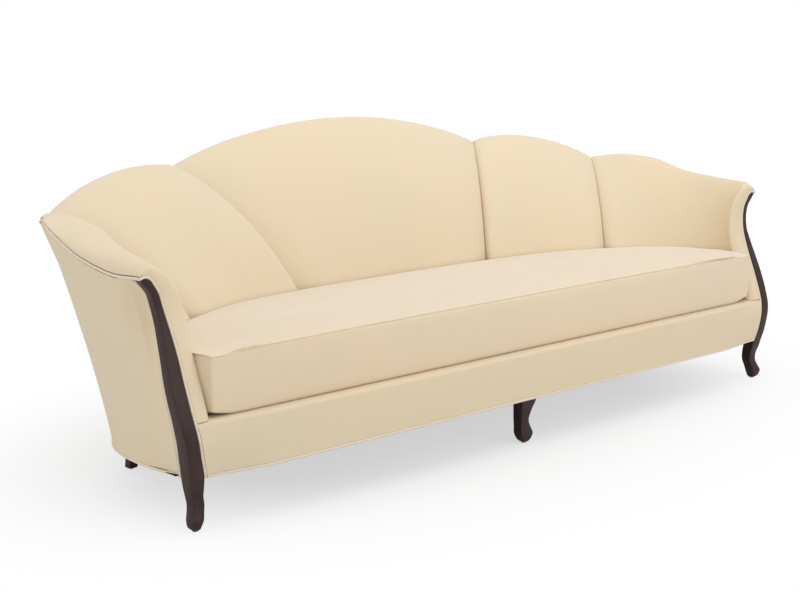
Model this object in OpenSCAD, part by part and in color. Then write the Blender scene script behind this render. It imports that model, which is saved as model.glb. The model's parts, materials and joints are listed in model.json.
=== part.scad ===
/* [Overall] */
// Half of the width between the outer edges of the arm rolls
half_w = 1316; // [1150:2:1450]
// Depth from the front apron to the rear edge of the back roll
body_d = 1000; // [900:2:1100]
// Height of the middle of the back
back_h = 953; // [900:1:1020]
// Height of the crest at the seams beside the centre petal
inner_seam_h = 837; // [800:1:880]
// Height of the crest at the seams between back and arms
outer_seam_h = 756; // [730:1:790]
// Height of the arm at its front end
arm_h = 693; // [670:1:720]
// How far the crest of a corner petal rises above its two seams
corner_rise = 43; // [20:1:60]

/* [Seat] */
// Height of the front top seam of the cushion
seat_h = 455; // [430:1:480]
// How far the middle of the cushion stands above its seam
cushion_crown = 12; // [4:1:30]
// How far the front of the cushion stands behind the front of the apron
cushion_setback = 32; // [20:1:50]
// Height of the hem above the floor
hem_z = 142; // [120:1:160]
// Gap between the cushion and what lies round it
cushion_gap = 4; // [2:0.5:8]

/* [Pads] */
// Depth of a seam between two petals, at the seat
seam_depth = 44; // [25:1:50]
// Depth of a seam between two petals, at the crest
seam_top_depth = 12; // [5:1:14]
// Thickness of the apron pad
apron_t = 12; // [8:1:16]
// Thickness of the padded outside panels
panel_t = 6; // [4:0.5:8]
// How far the outside panels draw in between roll and hem
panel_hollow_share = 0.009; // [0:0.001:0.014]
panel_hollow = body_d * panel_hollow_share;
// Diameter of the piping
piping_d = 8; // [5:0.5:10]

/* [Frame] */
// Thickness of the frame boards
board_t = 28; // [22:1:32]
// Height of the seat rails
rail_h = 120; // [100:1:126]
// Height of the crest rails
crest_rail_h = 46; // [35:1:55]
// Depth of a back upright, front to back
upright_d = 56; // [40:1:70]
// Height of the tack rails over the deck
tack_rail_h = 34; // [25:1:40]
// Thickness of the deck pad over the springs
deck_t = 20; // [14:1:24]
// Number of springs on each side of the middle
spring_count = 7; // [4:1:7]
// Diameter of the spring wire
spring_wire_d = 4; // [3:0.2:5]
// Width of a webbing band
web_w = 50; // [40:1:60]
// Thickness of a webbing band
web_t = 2; // [1.5:0.1:3]

/* [Legs] */
// Height of the front posts
post_h = 662; // [640:1:670]
// Width of the post's face at the knee
post_w = 40; // [34:1:44]
// Depth of the post at the knee
post_d = 35; // [30:1:40]
// How far the post's waist stands behind its knee
post_sweep = 116; // [100:1:122]
// How far the foot's toe reaches out
toe = 13; // [6:1:18]
// Diameter of the glides
glide_d = 22; // [16:1:26]
// Thickness of the glides
glide_t = 4; // [3:0.5:6]
// Thickness of the leg plates
plate_t = 2; // [1.5:0.5:3]
// How far the rear legs rake backwards
leg_rake = 26; // [0:1:40]
// Width of the rear legs at the top
leg_w = 46; // [40:1:50]
// Diameter of the hanger bolts
bolt_d = 8; // [6:0.5:10]

/* [Hidden] */
wood = "#3a2a28";
frame_wood = "#d8b98c";
cloth = "#ecd9b4";
welt = "#f0e2cc";
steel = "#9a9a98";
dark_cloth = "#2c2b2b";
jute = "#b79a6a";
foam = "#f4ead0";

// Clearances between neighbours
fit = 0.3;
slack = 1.2;
overrun = 2;
turn = 360;
right_angle = 90;
fine_round = 32;

// The tub is drawn on upright planes that fan out from the seat. Station 0 is the middle of the
// back, 2 the inner seam, 4 the outer seam and 10 the front end of the arm.
inner_seam = 2;
outer_seam = 4;
arm_back = 5;
post_behind = 8.8;
arm_turn = 9;
arm_end = 10;
// Plan of the inner face at the seat: shares of half_w and of body_d
plan_x_shares = [0, 0.152, 0.311, 0.531, 0.684, 0.748, 0.808, 0.858, 0.898, 0.908, 0.895];
plan_y_shares = [0.613, 0.608, 0.602, 0.564, 0.480, 0.430, 0.362, 0.290, 0.208, 0.139, 0.060];
// Direction of each plane in plan, in degrees from the X axis
plane_angles = [90, 74, 53, 54, 50, 44.5, 42, 38, 25, 8, 0];
// Reach from the inner face to the crest, then across the roll, and to the hem, of body_d
crest_shares = [0.337, 0.358, 0.412, 0.413, 0.397, 0.315, 0.204, 0.130, 0.079, 0.072, 0.091];
roll_shares = [0.046, 0.046, 0.046, 0.046, 0.050, 0.068, 0.128, 0.105, 0.063, 0.046, 0.038];
hem_shares = [0.217, 0.225, 0.245, 0.235, 0.215, 0.200, 0.175, 0.143, 0.084, 0.057, 0.066];
// Drop from the crest to the piping on the outer edge of the roll
roll_drop_shares = [0.040, 0.040, 0.038, 0.038, 0.030, 0.018, 0.004, 0.025, 0.044, 0.041, 0.030];
roll_drops = body_d * roll_drop_shares;
// Crest height of the arm, between arm_h (0) and outer_seam_h (1)
arm_rise_shares = [1, 1.27, 1.02, 0.51, 0.24, 0.13, 0];
// Thickness of the pads
pad_shares = [0.060, 0.060, 0.060, 0.060, 0.058, 0.052, 0.042, 0.030, 0.024, 0.024, 0.044];
pad_ts = body_d * pad_shares;

// Post outline: height, front edge behind the knee, middle outwards from the inner edge of the
// hem, width and depth, as shares of post_h, post_sweep, post_w, post_w and post_d
post_shares = [
    [0.214, 0.140, 0.50, 0.97, 1.03], [0.256, 0.068, 0.66, 0.98, 1.03],
    [0.301, 0.025, 0.82, 0.98, 1.02], [0.361, 0.000, 0.98, 1.00, 1.00],
    [0.407, 0.030, 1.10, 1.00, 0.97], [0.452, 0.100, 1.17, 0.98, 0.94],
    [0.527, 0.258, 1.23, 1.00, 0.88], [0.602, 0.430, 1.22, 0.96, 0.84],
    [0.678, 0.605, 1.15, 0.85, 0.80], [0.753, 0.780, 1.11, 0.67, 0.77],
    [0.813, 0.905, 1.12, 0.49, 0.77], [0.880, 0.990, 1.29, 0.42, 0.80],
    [0.934, 1.005, 1.52, 0.42, 0.82], [0.974, 1.000, 1.94, 0.46, 0.82], [1.000, 0.995, 2.20, 0.46, 0.80]
];
post_x_share = 0.9095;
post_knee_y = 14;

// Feet: height of each ring as a share of hem_z, then its size and its toe as shares
foot_shares = [
    [0.028, 0.42, 0.35], [0.085, 0.92, 0.95], [0.21, 1.05, 1.00], [0.34, 0.96, 0.62],
    [0.49, 0.88, 0.20], [0.64, 0.90, 0.02], [0.82, 0.96, 0]
];

// Table lookup on a smooth curve through its values
function mix(a, b, t) = a + (b - a) * t;
function curve(p, q, r, s, t) =
    (2 * q + (r - p) * t + (2 * p - 5 * q + 4 * r - s) * t * t
        + (3 * q - p - 3 * r + s) * t * t * t) / 2;
function at(table, g, odd = false) =
    let (last = len(table) - 1)
    let (i = min(max(floor(g), 0), last - 1))
    let (before = i > 0 ? table[i - 1] : odd ? 2 * table[0] - table[1] : table[1])
    let (after = i + 2 > last ? 2 * table[last] - table[last - 1] : table[i + 2])
    curve(before, table[i], table[i + 1], after, g - i);
function line_at(rows, column, z, i = 0) =
    z <= rows[0][0] ? rows[0][column]
    : i >= len(rows) - 1 ? rows[len(rows) - 1][column]
    : z > rows[i + 1][0] ? line_at(rows, column, z, i + 1)
    : mix(rows[i][column], rows[i + 1][column], (z - rows[i][0]) / (rows[i + 1][0] - rows[i][0]));
function reversed(list) = [for (i = [len(list) - 1:-1:0]) list[i]];
function ease(t) = let (u = min(max(t, 0), 1)) u * u * (3 - 2 * u);

// Heights that several pieces share
rail_z = hem_z + panel_t;
rail_top = rail_z + rail_h;
spring_z = rail_top + spring_wire_d / 2 + fit;
deck_z = spring_z + spring_wire_d / 2 + fit;
deck_top = deck_z + deck_t;
pad_z = deck_top + slack;
cushion_low = deck_top + fit;

// Post outline in real sizes
post_x = half_w * post_x_share;
post_rows = [for (row = post_shares) [
    row[0] * post_h,
    post_knee_y + row[1] * post_sweep,
    post_x + row[2] * post_w,
    row[3] * post_w,
    row[4] * post_d
]];
function post_front(z) = line_at(post_rows, 1, z);
function post_in(z) = line_at(post_rows, 2, z) - line_at(post_rows, 3, z) / 2;
function post_out(z) = line_at(post_rows, 2, z) + line_at(post_rows, 3, z) / 2;
function post_back(z) = post_front(z) + line_at(post_rows, 4, z);

// Crest height at a station
function crest_x(g) = half_w * at(plan_x_shares, g, true)
    + body_d * at(crest_shares, g) * cos(at(plane_angles, g, true));
seam_x = crest_x(inner_seam);
outer_x = crest_x(outer_seam);
function crest_z(g) =
    g <= inner_seam ? mix(back_h, inner_seam_h, pow(crest_x(g) / seam_x, 2))
    : g <= outer_seam ? let (w = (crest_x(g) - seam_x) / (outer_x - seam_x))
        mix(inner_seam_h, outer_seam_h, w) + corner_rise * 4 * w * (1 - w)
    : mix(arm_h, outer_seam_h, at(arm_rise_shares, g - outer_seam));
function reach(g) = body_d * at(crest_shares, g);
function roll_w(g) = body_d * at(roll_shares, g);
function roll_end(g) = reach(g) + roll_w(g);
function roll_z(g) = crest_z(g) - at(roll_drops, g);
function hem_r(g) = body_d * at(hem_shares, g);

// A point of the tub: station, distance outwards from the inner face, height. In front of the
// arm's turn the planes bend to follow the front edge of the post, moved back by set.
function spot(g, r, z, set = 0) =
    let (a = abs(g), behind = min(a, arm_turn))
    let (x = half_w * at(plan_x_shares, a, true) + r * cos(at(plane_angles, a, true)))
    let (y = body_d * at(plan_y_shares, behind) + r * sin(at(plane_angles, behind, true)))
    [g < 0 ? -x : x, mix(y, post_front(z) + set, a - behind), z];

// Depth of the valley at a station, from 1 in the seam to 0 on the petal
valley_w = 0.42;
arm_valley_w = 0.8;
function valley(g) =
    let (a = abs(g))
    let (before = abs(a - inner_seam) / valley_w)
    let (after = a < outer_seam ? (outer_seam - a) / valley_w : (a - outer_seam) / arm_valley_w)
    let (d = min(before, after, 1))
    1 - sqrt(1 - pow(1 - d, 2));
function dip(g, t) = valley(g) * mix(seam_depth, seam_top_depth, t);

// Inner face: s runs from 0 at the seat to 1 at the crest
lean_share = 0.7;
round_power = 1.3;
function face_r(g, s) = reach(g) * (lean_share * s + (1 - lean_share) * s * s);
function face_z(g, s) = mix(seat_h, crest_z(g), 1 - pow(1 - s, round_power));
face_step_shares = [0.1, 0.26, 0.44, 0.62, 0.78, 0.91, 1];
roll_turns = [30, 60, 90];
// Thickness of the pad under the roll, at the crest and at the piping
roll_pad_t = 20;
roll_edge_t = 6;
// The pad's thickness is measured across its slope, which starts at this share of the lean
lean_start_share = 0.55;
crest_fade_power = 6;

function pad_outline(g) = let (a = abs(g)) concat(
    [[dip(a, 0), pad_z], [dip(a, 0), seat_h]],
    [for (s = face_step_shares) [face_r(a, s) + dip(a, s), face_z(a, s) - dip(a, s) * s / 2]],
    [for (q = roll_turns) [
        reach(a) + roll_w(a) * sin(q) + dip(a, 1) * (1 - sin(q)),
        crest_z(a) - at(roll_drops, a) * (1 - cos(q)) - dip(a, 1) * cos(q) / 2
    ]]);
function pad_lining(g) = let (a = abs(g)) let (t = at(pad_ts, a)) concat(
    [[t, pad_z], [t, seat_h]],
    [for (s = face_step_shares)
        let (lean = atan2(reach(a), crest_z(a) - seat_h) * mix(lean_start_share, 1, s))
        let (thick = mix(t, roll_pad_t, s * s))
        [face_r(a, s) + thick * cos(lean) * (1 - pow(s, crest_fade_power)),
         face_z(a, s) - thick * (s < 1 ? sin(lean) : 1)]],
    [for (q = roll_turns)
        let (thick = mix(roll_pad_t, roll_edge_t, q / right_angle))
        [reach(a) + roll_w(a) * sin(q) - thick * sin(q),
         crest_z(a) - at(roll_drops, a) * (1 - cos(q)) - thick * cos(q)]]);
// Beside the post the lining leaves room for the piping, and over the tip it stays above it
post_room = 1.5 * piping_d;
function beside_post(p) = abs(p[0]) > post_out(post_h) + slack ? p
    : p[2] < post_h ? [sign(p[0]) * min(abs(p[0]), post_in(p[2]) - post_room), p[1], p[2]]
    : [p[0], p[1], max(p[2], post_h + post_room)];
function pad_ring(g) = concat(
    [for (p = pad_outline(g)) spot(g, p[0], p[1])],
    reversed([for (p = pad_lining(g))
        let (q = spot(g, p[0], p[1]))
        abs(g) >= post_behind ? beside_post(q) : q]));

// A solid through rings of points, each ring paired front to back, with strip caps
module loft(rings) {
    n = len(rings[0]);
    m = len(rings);
    half = floor(n / 2);
    sides = [for (k = [0:m - 2]) for (i = [0:n - 1])
        let (j = (i + 1) % n)
        each [[k * n + i, k * n + j, (k + 1) * n + j], [k * n + i, (k + 1) * n + j, (k + 1) * n + i]]];
    low = [for (i = [0:half - 2])
        each [[i, n - 1 - i, n - 2 - i], [i, n - 2 - i, i + 1]]];
    high = [for (i = [0:half - 2])
        each [[i, n - 2 - i, n - 1 - i], [i, i + 1, n - 2 - i]]];
    lift = (m - 1) * n;
    polyhedron(
        points = [for (ring = rings) each ring],
        faces = concat(
            sides,
            [for (f = low) if (f[0] != f[1] && f[1] != f[2]) f],
            [for (f = high) if (f[0] != f[1] && f[1] != f[2]) [lift + f[0], lift + f[1], lift + f[2]]]));
}

// A round tube along a path, with its rings square to the path
tube_sides = 6;
function unit(v) = v / norm(v);
function tube_rings(path, d, up = [0, 0, 1], sides = tube_sides) =
    let (last = len(path) - 1)
    [for (i = [0:last])
        let (along = unit(path[min(i + 1, last)] - path[max(i - 1, 0)]))
        let (side = unit(cross(along, up)))
        let (above = cross(side, along))
        [for (k = [0:sides - 1])
            let (q = (k + 0.5) * turn / sides)
            path[i] + d / 2 * (cos(q) * side + sin(q) * above)]];
module tube(path, d, up = [0, 0, 1], sides = tube_sides) {
    loft(tube_rings(path, d, up, sides));
}

// Everything stands centred on the origin from front to back
piping_set = 1;
piping_proud = piping_d / 2 - piping_set;
front_y = -piping_proud;
rear_y = max([for (g = [0, 0.45, 0.9, 1.4]) spot(g, roll_end(g) + piping_proud, 0)[1]]);
mid_y = (front_y + rear_y) / 2;
module place(mirrored = false) {
    translate([0, -mid_y, 0]) mirror([mirrored ? 1 : 0, 0, 0]) children();
}

// Stations of the lofted pieces
back_half = [0, 0.45, 0.9, 1.4, 2];
corner_plain = [2, 2.6, 3, 3.4, 4];
arm_plain = [4, 4.5, 5, 5.6, 6.2, 6.8, 7.4, 8, 8.5, 8.8, 9, 9.35, 9.7, 10];
function both_ways(list) = concat([for (i = [len(list) - 1:-1:1]) -list[i]], list);
seam_steps = [0.03, 0.1, 0.25];
corner_stations = concat([2], [for (q = seam_steps) 2 + q], [2.6, 3, 3.4],
    [for (q = reversed(seam_steps)) 4 - q], [4]);
centre_stations = both_ways(concat([0, 0.45, 0.9, 1.4], [for (q = reversed(seam_steps)) 2 - q], [2]));
arm_stations = concat([4, 4.06, 4.2], [for (i = [1:len(arm_plain) - 1]) arm_plain[i]]);

module back_pad_centre() {
    color(cloth) place() loft([for (g = centre_stations) pad_ring(g)]);
}
module corner_pad() {
    color(cloth) loft([for (g = corner_stations) pad_ring(g)]);
}
module arm_pad() {
    color(cloth) loft([for (g = arm_stations) pad_ring(g)]);
}

// Outside panels: a thin padded skin from the roll piping down to the hem piping. Beside the post
// the panel's front edge follows the wood.
panel_low = hem_z + piping_d + fit;
// The piping runs on a slope, so it takes a little more than its radius upright
slope_share = 0.78;
piping_drop = piping_d * slope_share;
function panel_top(g) = roll_z(g) - 2 * piping_drop;
function base_x(g) = half_w * at(plan_x_shares, g, true);
function panel_r(g, z) =
    let (a = abs(g))
    let (v = (z - panel_low) / (panel_top(a) - panel_low))
    let (top_r = roll_end(a) - piping_set)
    let (plain = mix(hem_r(a), top_r, v) - panel_hollow * 4 * v * (1 - v))
    let (squint = max(cos(at(plane_angles, a, true)), least_squint))
    let (wood = (post_out(z) - base_x(a)) / squint)
    let (wood_top = (post_out(panel_top(a)) - base_x(a)) / squint)
    let (w = ease((a - post_follow) / (arm_end - post_follow)))
    mix(plain, wood + (top_r - wood_top) * pow(v, flare_power), w);
post_follow = 8;
least_squint = 0.5;
flare_power = 4;
panel_step_shares = [0, 0.2, 0.4, 0.6, 0.8, 0.92, 1];
function post_depth(z) = line_at(post_rows, 4, z);
function panel_ring(g) = let (a = abs(g))
    let (heights = [for (v = panel_step_shares) mix(panel_low, panel_top(a), v)])
    let (edge = piping_d + 2 * fit)
    concat(
        reversed([for (z = heights) spot(g, panel_r(a, z), z, post_depth(z) + edge)]),
        [for (z = heights) spot(g, panel_r(a, z) - panel_t, z, post_depth(z) + edge)]);
module outside_back() {
    color(cloth) place() loft([for (g = back_stations) panel_ring(g)]);
}
module outside_arm() {
    color(cloth) loft([for (g = arm_plain) panel_ring(g)]);
}

// Piping along the outer edge of the roll, in one length from arm tip to arm tip
whole_round = both_ways(concat(back_half, [2.6, 3, 3.4], arm_plain));
roll_line = [for (g = whole_round)
    spot(g, roll_end(abs(g)) - piping_set, roll_z(abs(g)) - piping_drop)];
module roll_piping() {
    color(welt) place() tube(roll_line, piping_d);
}

// Apron: the padded cover of the front rail, and the hem piping under it and round the sides
apron_lip = 44;
apron_wrap_t = 10;
apron_full = 1;
apron_x_shares = [0, 0.3, 0.6, 0.8, 0.88, 0.94, 0.98, 1];
apron_turn_share = 0.82;
function front_line(share, z) =
    mix(0, post_front(z) - apron_full, ease((abs(share) - apron_turn_share) / (1 - apron_turn_share)));
function apron_end(z) = post_in(z) - piping_d - 2 * fit;
function apron_spot(share, back, z) =
    [share * apron_end(z), front_line(share, z) + back, z];
function apron_ring(share) = concat(
    [
        apron_spot(share, 0, panel_low),
        apron_spot(share, -apron_full, (panel_low + deck_top) / 2),
        apron_spot(share, 0, deck_top - apron_t),
        apron_spot(share, apron_t / 4, deck_top - apron_t / 4),
        apron_spot(share, apron_t, deck_top),
        apron_spot(share, apron_lip, deck_top)
    ],
    [apron_spot(share, apron_lip, deck_top - apron_wrap_t)],
    [for (i = [0:4]) apron_spot(share, apron_t, mix(deck_top - apron_wrap_t, panel_low, i / 4))]);
module apron_pad() {
    color(cloth) place() loft([for (share = both_ways(apron_x_shares)) apron_ring(share)]);
}
module hem_piping() {
    hem_mid = hem_z + piping_d / 2;
    color(welt) place() {
        tube([for (share = both_ways(apron_x_shares))
            apron_spot(share, piping_set, hem_mid)], piping_d);
        tube([for (g = whole_round) spot(g, hem_r(abs(g)) - piping_set, hem_mid,
            post_depth(hem_mid) + piping_d + 2 * fit)], piping_d);
    }
}

// Piping on both sides of the post: the inner one turns over the wood's tip
post_steps = 18;
module post_piping() {
    off = piping_d / 2 + 2 * fit;
    inner = [for (row = post_rows)
        let (z = min(row[0], post_h - piping_d / 2))
        let (slope = (post_in(z + fit) - post_in(z - fit)) / (2 * fit))
        [post_in(z) - off * norm([1, slope]), post_front(z) + piping_d / 2, z]];
    tip_y = post_front(post_h) + piping_d / 2;
    over = [
        [post_in(post_h) - off * sqrt(0.5), tip_y, post_h + off * sqrt(0.5)],
        [post_in(post_h) + piping_d / 4, tip_y, post_h + off],
        [post_out(post_h) - piping_d / 4, tip_y, post_h + off]
    ];
    top = panel_top(arm_end);
    outer = [for (i = [0:post_steps])
        let (z = mix(hem_z, top, i / post_steps))
        [base_x(arm_end) + panel_r(arm_end, max(z, panel_low)) - piping_d / 2 + piping_set,
         post_back(z) + piping_d / 2 + fit, z]];
    color(welt) {
        tube(concat(inner, over), piping_d, [0, 1, 0]);
        tube(outer, piping_d, [0, 1, 0]);
    }
}

// Front post: one piece of wood from the foot's toe to the arm's tip. A ring has three points at
// each corner, and the foot's outer front corner runs out to the toe.
corner_r = 5;
corner_cut_share = 0.3;
function post_ring(front, middle, w, d, z, out = 0) =
    let (l = middle - w / 2, r = middle + w / 2, b = front + d, c = min(corner_r, w / 4, d / 4))
    let (k = c * corner_cut_share)
    reversed([
        [l, front + c, z], [l + k, front + k, z], [l + c, front, z],
        [r - c + out / 2, front - out, z], [r - k + out, front + k - out, z],
        [r + out, front + c - out / 2, z],
        [r, b - c, z], [r - k, b - k, z], [r - c, b, z],
        [l + c, b, z], [l + k, b - k, z], [l, b - c, z]
    ]);
foot_base = post_rows[0];
ankle_back = 8;
module front_post() {
    base = foot_base;
    foot_rings = [for (row = foot_shares)
        let (z = row[0] * hem_z)
        let (w = base[3] * row[1])
        let (d = base[4] * row[1])
        let (back = ankle_back * (1 - row[0]))
        post_ring(base[1] + back + (base[4] - d) / 2, base[2] - back / 2, w, d, z, toe * row[2])];
    post_rings = [for (row = post_rows) post_ring(row[1], row[2], row[3], row[4], row[0])];
    color(wood) loft(concat(foot_rings, post_rings));
}

// Seat rails: curved boards just inside the outside panels
rail_out = panel_t + fit;
rail_in = rail_out + board_t;
function rail_outer(a) = min(hem_r(a) - rail_out, panel_r(a, panel_low) - panel_t - slack);
function rail_ring(g, grow = 0) =
    let (a = abs(g), out = rail_outer(a) + grow, in = out - board_t - 2 * grow)
    [for (p = [[in, rail_z - grow], [in, rail_top + grow], [out, rail_top + grow], [out, rail_z - grow]])
        spot(g, p[0], p[1], post_depth(p[1]) + fit)];
function front_rail_ring(share) =
    let (turned = ease((abs(share) - apron_turn_share) / (1 - apron_turn_share)))
    let (front = apron_t + slack + end_room * turned)
    let (line = max(front_line(share, rail_z), front_line(share, rail_top)))
    let (side_in = base_x(arm_end) + rail_outer(arm_end) - board_t)
    let (back = front + board_t)
    [for (p = [[front, rail_z], [front, rail_top], [back, rail_top], [back, rail_z]])
        [share * (min(post_in(p[1]), side_in) - fit), line + p[0], p[1]]];
end_room = 3;

// Legs under the rails: place, top size and the way that they rake or step forward
rear_leg_station = 4.2;
function leg_spot(g) = spot(g, hem_r(abs(g)) - piping_d - leg_w * sqrt(0.5) - slack, 0);
rear_leg_at = leg_spot(rear_leg_station);
middle_leg_at = leg_spot(0);
front_leg_y = leg_w / 2 + piping_proud + slack + 2;
leg_top = rail_z - plate_t;
leg_foot_share = 0.62;
bolt_low = 45;
bolt_high = 50;
module bolt_hole(extra) {
    translate([0, 0, leg_top - bolt_low])
        cylinder(d = bolt_d + extra, h = bolt_low + bolt_high, $fn = fine_round);
}
module bolt_holes() {
    for (p = [rear_leg_at, [-rear_leg_at[0], rear_leg_at[1], 0], middle_leg_at, [0, front_leg_y, 0]])
        translate(p) bolt_hole(2 * fit);
}
function square_ring(middle, w, z) = [
    [middle[0] - w / 2, middle[1] + w / 2, z], [middle[0] + w / 2, middle[1] + w / 2, z],
    [middle[0] + w / 2, middle[1] - w / 2, z], [middle[0] - w / 2, middle[1] - w / 2, z]
];
module rear_leg(at_top, rake) {
    color(wood) difference() {
        loft([
            square_ring([at_top[0] + rake[0], at_top[1] + rake[1]], leg_w * leg_foot_share, glide_t),
            square_ring([at_top[0], at_top[1]], leg_w, leg_top)
        ]);
        translate(at_top) bolt_hole(2 * fit);
    }
}
rake_out_shares = [0.65, 0.75];
rake_out = leg_rake * rake_out_shares;
// Blocks inside the side rails, over the rear legs, that take their bolts
leg_block_w = 60;
leg_block_h = 45;
module leg_block() {
    color(frame_wood) difference() {
        translate([rear_leg_at[0], rear_leg_at[1], rail_z])
            rotate([0, 0, at(plane_angles, rear_leg_station, true)])
            translate([-leg_block_w / 2, -leg_block_w / 2, 0])
                cube([leg_block_w, leg_block_w, leg_block_h]);
        loft([for (g = arm_plain) if (g < arm_back + 1) rail_ring(g, fit)]);
        loft([for (g = corner_plain) if (g > inner_seam) rail_ring(g, fit)]);
        translate(rear_leg_at) bolt_hole(2 * fit);
    }
}
// Centre front foot: height, front edge, width and depth as shares of leg_top and leg_w
middle_foot_shares = [
    [0.028, 0.10, 0.50, 0.60], [0.085, -0.06, 0.92, 1.02], [0.21, -0.10, 1.02, 1.10],
    [0.34, 0.00, 0.88, 0.88], [0.49, 0.14, 0.74, 0.68], [0.64, 0.14, 0.76, 0.72],
    [0.82, 0.06, 0.90, 0.88], [1, 0, 1, 1]
];
module centre_front_leg() {
    color(wood) place() difference() {
        loft([for (row = middle_foot_shares)
            let (front = front_leg_y - leg_w / 2 + row[1] * leg_w)
            post_ring(front, 0, row[2] * leg_w, row[3] * leg_w, row[0] * leg_top)]);
        translate([0, front_leg_y, 0]) bolt_hole(2 * fit);
    }
}
module leg_blocks() {
    place() leg_block();
    place(true) leg_block();
}
glide_spots = [
    [foot_base[2] - ankle_back / 2, foot_base[1] + foot_base[4] / 2 + ankle_back],
    [rear_leg_at[0] + rake_out[0], rear_leg_at[1] + rake_out[1]]
];
module foot_glides() {
    color(steel) place() {
        for (p = glide_spots)
            for (side = [-1, 1])
                translate([side * p[0], p[1], 0])
                    cylinder(d = glide_d, h = glide_t - fit, $fn = fine_round);
        translate([middle_leg_at[0], middle_leg_at[1] + leg_rake, 0])
            cylinder(d = glide_d, h = glide_t - fit, $fn = fine_round);
        translate([0, front_leg_y, 0]) cylinder(d = glide_d, h = glide_t - fit, $fn = fine_round);
    }
}
module leg_plates() {
    color(steel) place() difference() {
        for (p = [rear_leg_at, [-rear_leg_at[0], rear_leg_at[1], 0], middle_leg_at, [0, front_leg_y, 0]])
            translate([p[0] - leg_w / 2, p[1] - leg_w / 2, leg_top + fit / 2])
                cube([leg_w, leg_w, plate_t - fit]);
        bolt_holes();
    }
}
module leg_bolts() {
    color(steel) place()
        for (p = [rear_leg_at, [-rear_leg_at[0], rear_leg_at[1], 0], middle_leg_at, [0, front_leg_y, 0]])
            translate(p) bolt_hole(0);
}

// Plan of the rails' inner faces, for the braces that run back to them
back_stations = both_ways(concat(back_half, [2.6, 3, 3.4, 4]));
rail_line = [for (g = back_stations) spot(g, rail_outer(abs(g)) - board_t, 0)];
front_rail_back = apron_t + slack + board_t;
brace_drop = 14;
brace_h = rail_h - brace_drop;
brace_x = rear_leg_at[0] / 2;
block_leg = 50;
block_h = 60;
screw_d = 4.5;
screw_head_d = 9;
screw_head_t = 3;
screw_bite = 12;
block_lift = 20;
block_z = rail_z + block_lift;
screw_y = front_rail_back + block_leg / 2;
screw_z = block_z + block_h / 2;
module at_block_screws(x) {
    for (side = [-1, 1])
        translate([x + side * (board_t / 2 + fit), screw_y, screw_z])
            rotate([0, side * right_angle, 0]) children();
}
module seat_brace(x) {
    low = x - board_t / 2;
    high = x + board_t / 2;
    color(frame_wood) place() difference() {
        translate([0, 0, rail_z]) linear_extrude(brace_h) polygon([
            [low, front_rail_back + fit], [high, front_rail_back + fit],
            [high, line_at(rail_line, 1, high) - fit], [low, line_at(rail_line, 1, low) - fit]
        ]);
        at_block_screws(x) translate([0, 0, -screw_bite])
            cylinder(d = screw_d + 2 * fit, h = screw_bite + overrun, $fn = fine_round);
        if (x == 0) translate(middle_leg_at) bolt_hole(2 * fit);
    }
}
block_face = block_leg / 2;
module corner_blocks() {
    color(frame_wood) place() for (x = [-brace_x, 0, brace_x]) difference() {
        for (side = [-1, 1])
            translate([x, front_rail_back + fit, block_z]) linear_extrude(block_h) polygon([
            [side * (board_t / 2 + fit), 0], [side * (board_t / 2 + fit + block_leg), 0],
            [side * (board_t / 2 + fit), block_leg]
        ]);
        at_block_screws(x) cylinder(d = screw_d + 2 * fit, h = block_leg, $fn = fine_round);
        at_block_screws(x) translate([0, 0, block_face - screw_head_t])
            cylinder(d = screw_head_d + 2 * fit, h = block_leg, $fn = fine_round);
    }
}
module block_screws() {
    color(steel) place() for (x = [-brace_x, 0, brace_x]) at_block_screws(x) {
        translate([0, 0, -screw_bite + fit])
            cylinder(d = screw_d, h = screw_bite + block_face - screw_head_t - fit, $fn = fine_round);
        translate([0, 0, block_face - screw_head_t + fit])
            cylinder(d = screw_head_d, h = screw_head_t - fit, $fn = fine_round);
    }
}

// The lining's place at a height, and what stands behind it
lining_count = 9;
back_web_gap = 1;
arm_web_gap_share = 0.008;
arm_web_gap = body_d * arm_web_gap_share;
function web_gap(g) = mix(back_web_gap, arm_web_gap, min(max(abs(g) - outer_seam, 0), 1));
function behind_pad(g) = web_gap(g) + web_t + slack;
// Room before and behind a board whose plane isn't square to the pads, and under the crest's slope
skew_room_share = 0.013;
skew_room = body_d * skew_room_share;
skew_back_share = 0.009;
skew_back = body_d * skew_back_share;
slope_room = 6;
function lining_r(g, z) =
    let (rows = [for (i = [0:lining_count - 1]) let (p = pad_lining(g)[i]) [p[1], p[0]]])
    line_at(rows, 1, z);
function crest_rail_top(g) = min(roll_z(g) - 2 * piping_drop, crest_z(g) - roll_pad_t - 5 * slack);
function crest_rail_low(g) = crest_rail_top(g) - crest_rail_h;
function crest_rail_ring(g) =
    let (a = abs(g), top = crest_rail_top(a), low = crest_rail_low(a))
    let (inner = lining_r(a, top) + behind_pad(a) + slack)
    let (outer_high = panel_r(a, top) - panel_t - slack, outer_low = panel_r(a, low) - panel_t - slack)
    [spot(g, inner, low), spot(g, inner, top), spot(g, outer_high, top), spot(g, outer_low, low)];
tack_t = 20;
tack_z = pad_z;
function tack_ring(g) =
    let (inner = at(pad_ts, abs(g)) + web_gap(g) + web_t + 3 * fit)
    [for (p = [[inner, tack_z], [inner, tack_z + tack_rail_h],
        [inner + tack_t, tack_z + tack_rail_h], [inner + tack_t, tack_z]]) spot(g, p[0], p[1])];

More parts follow.
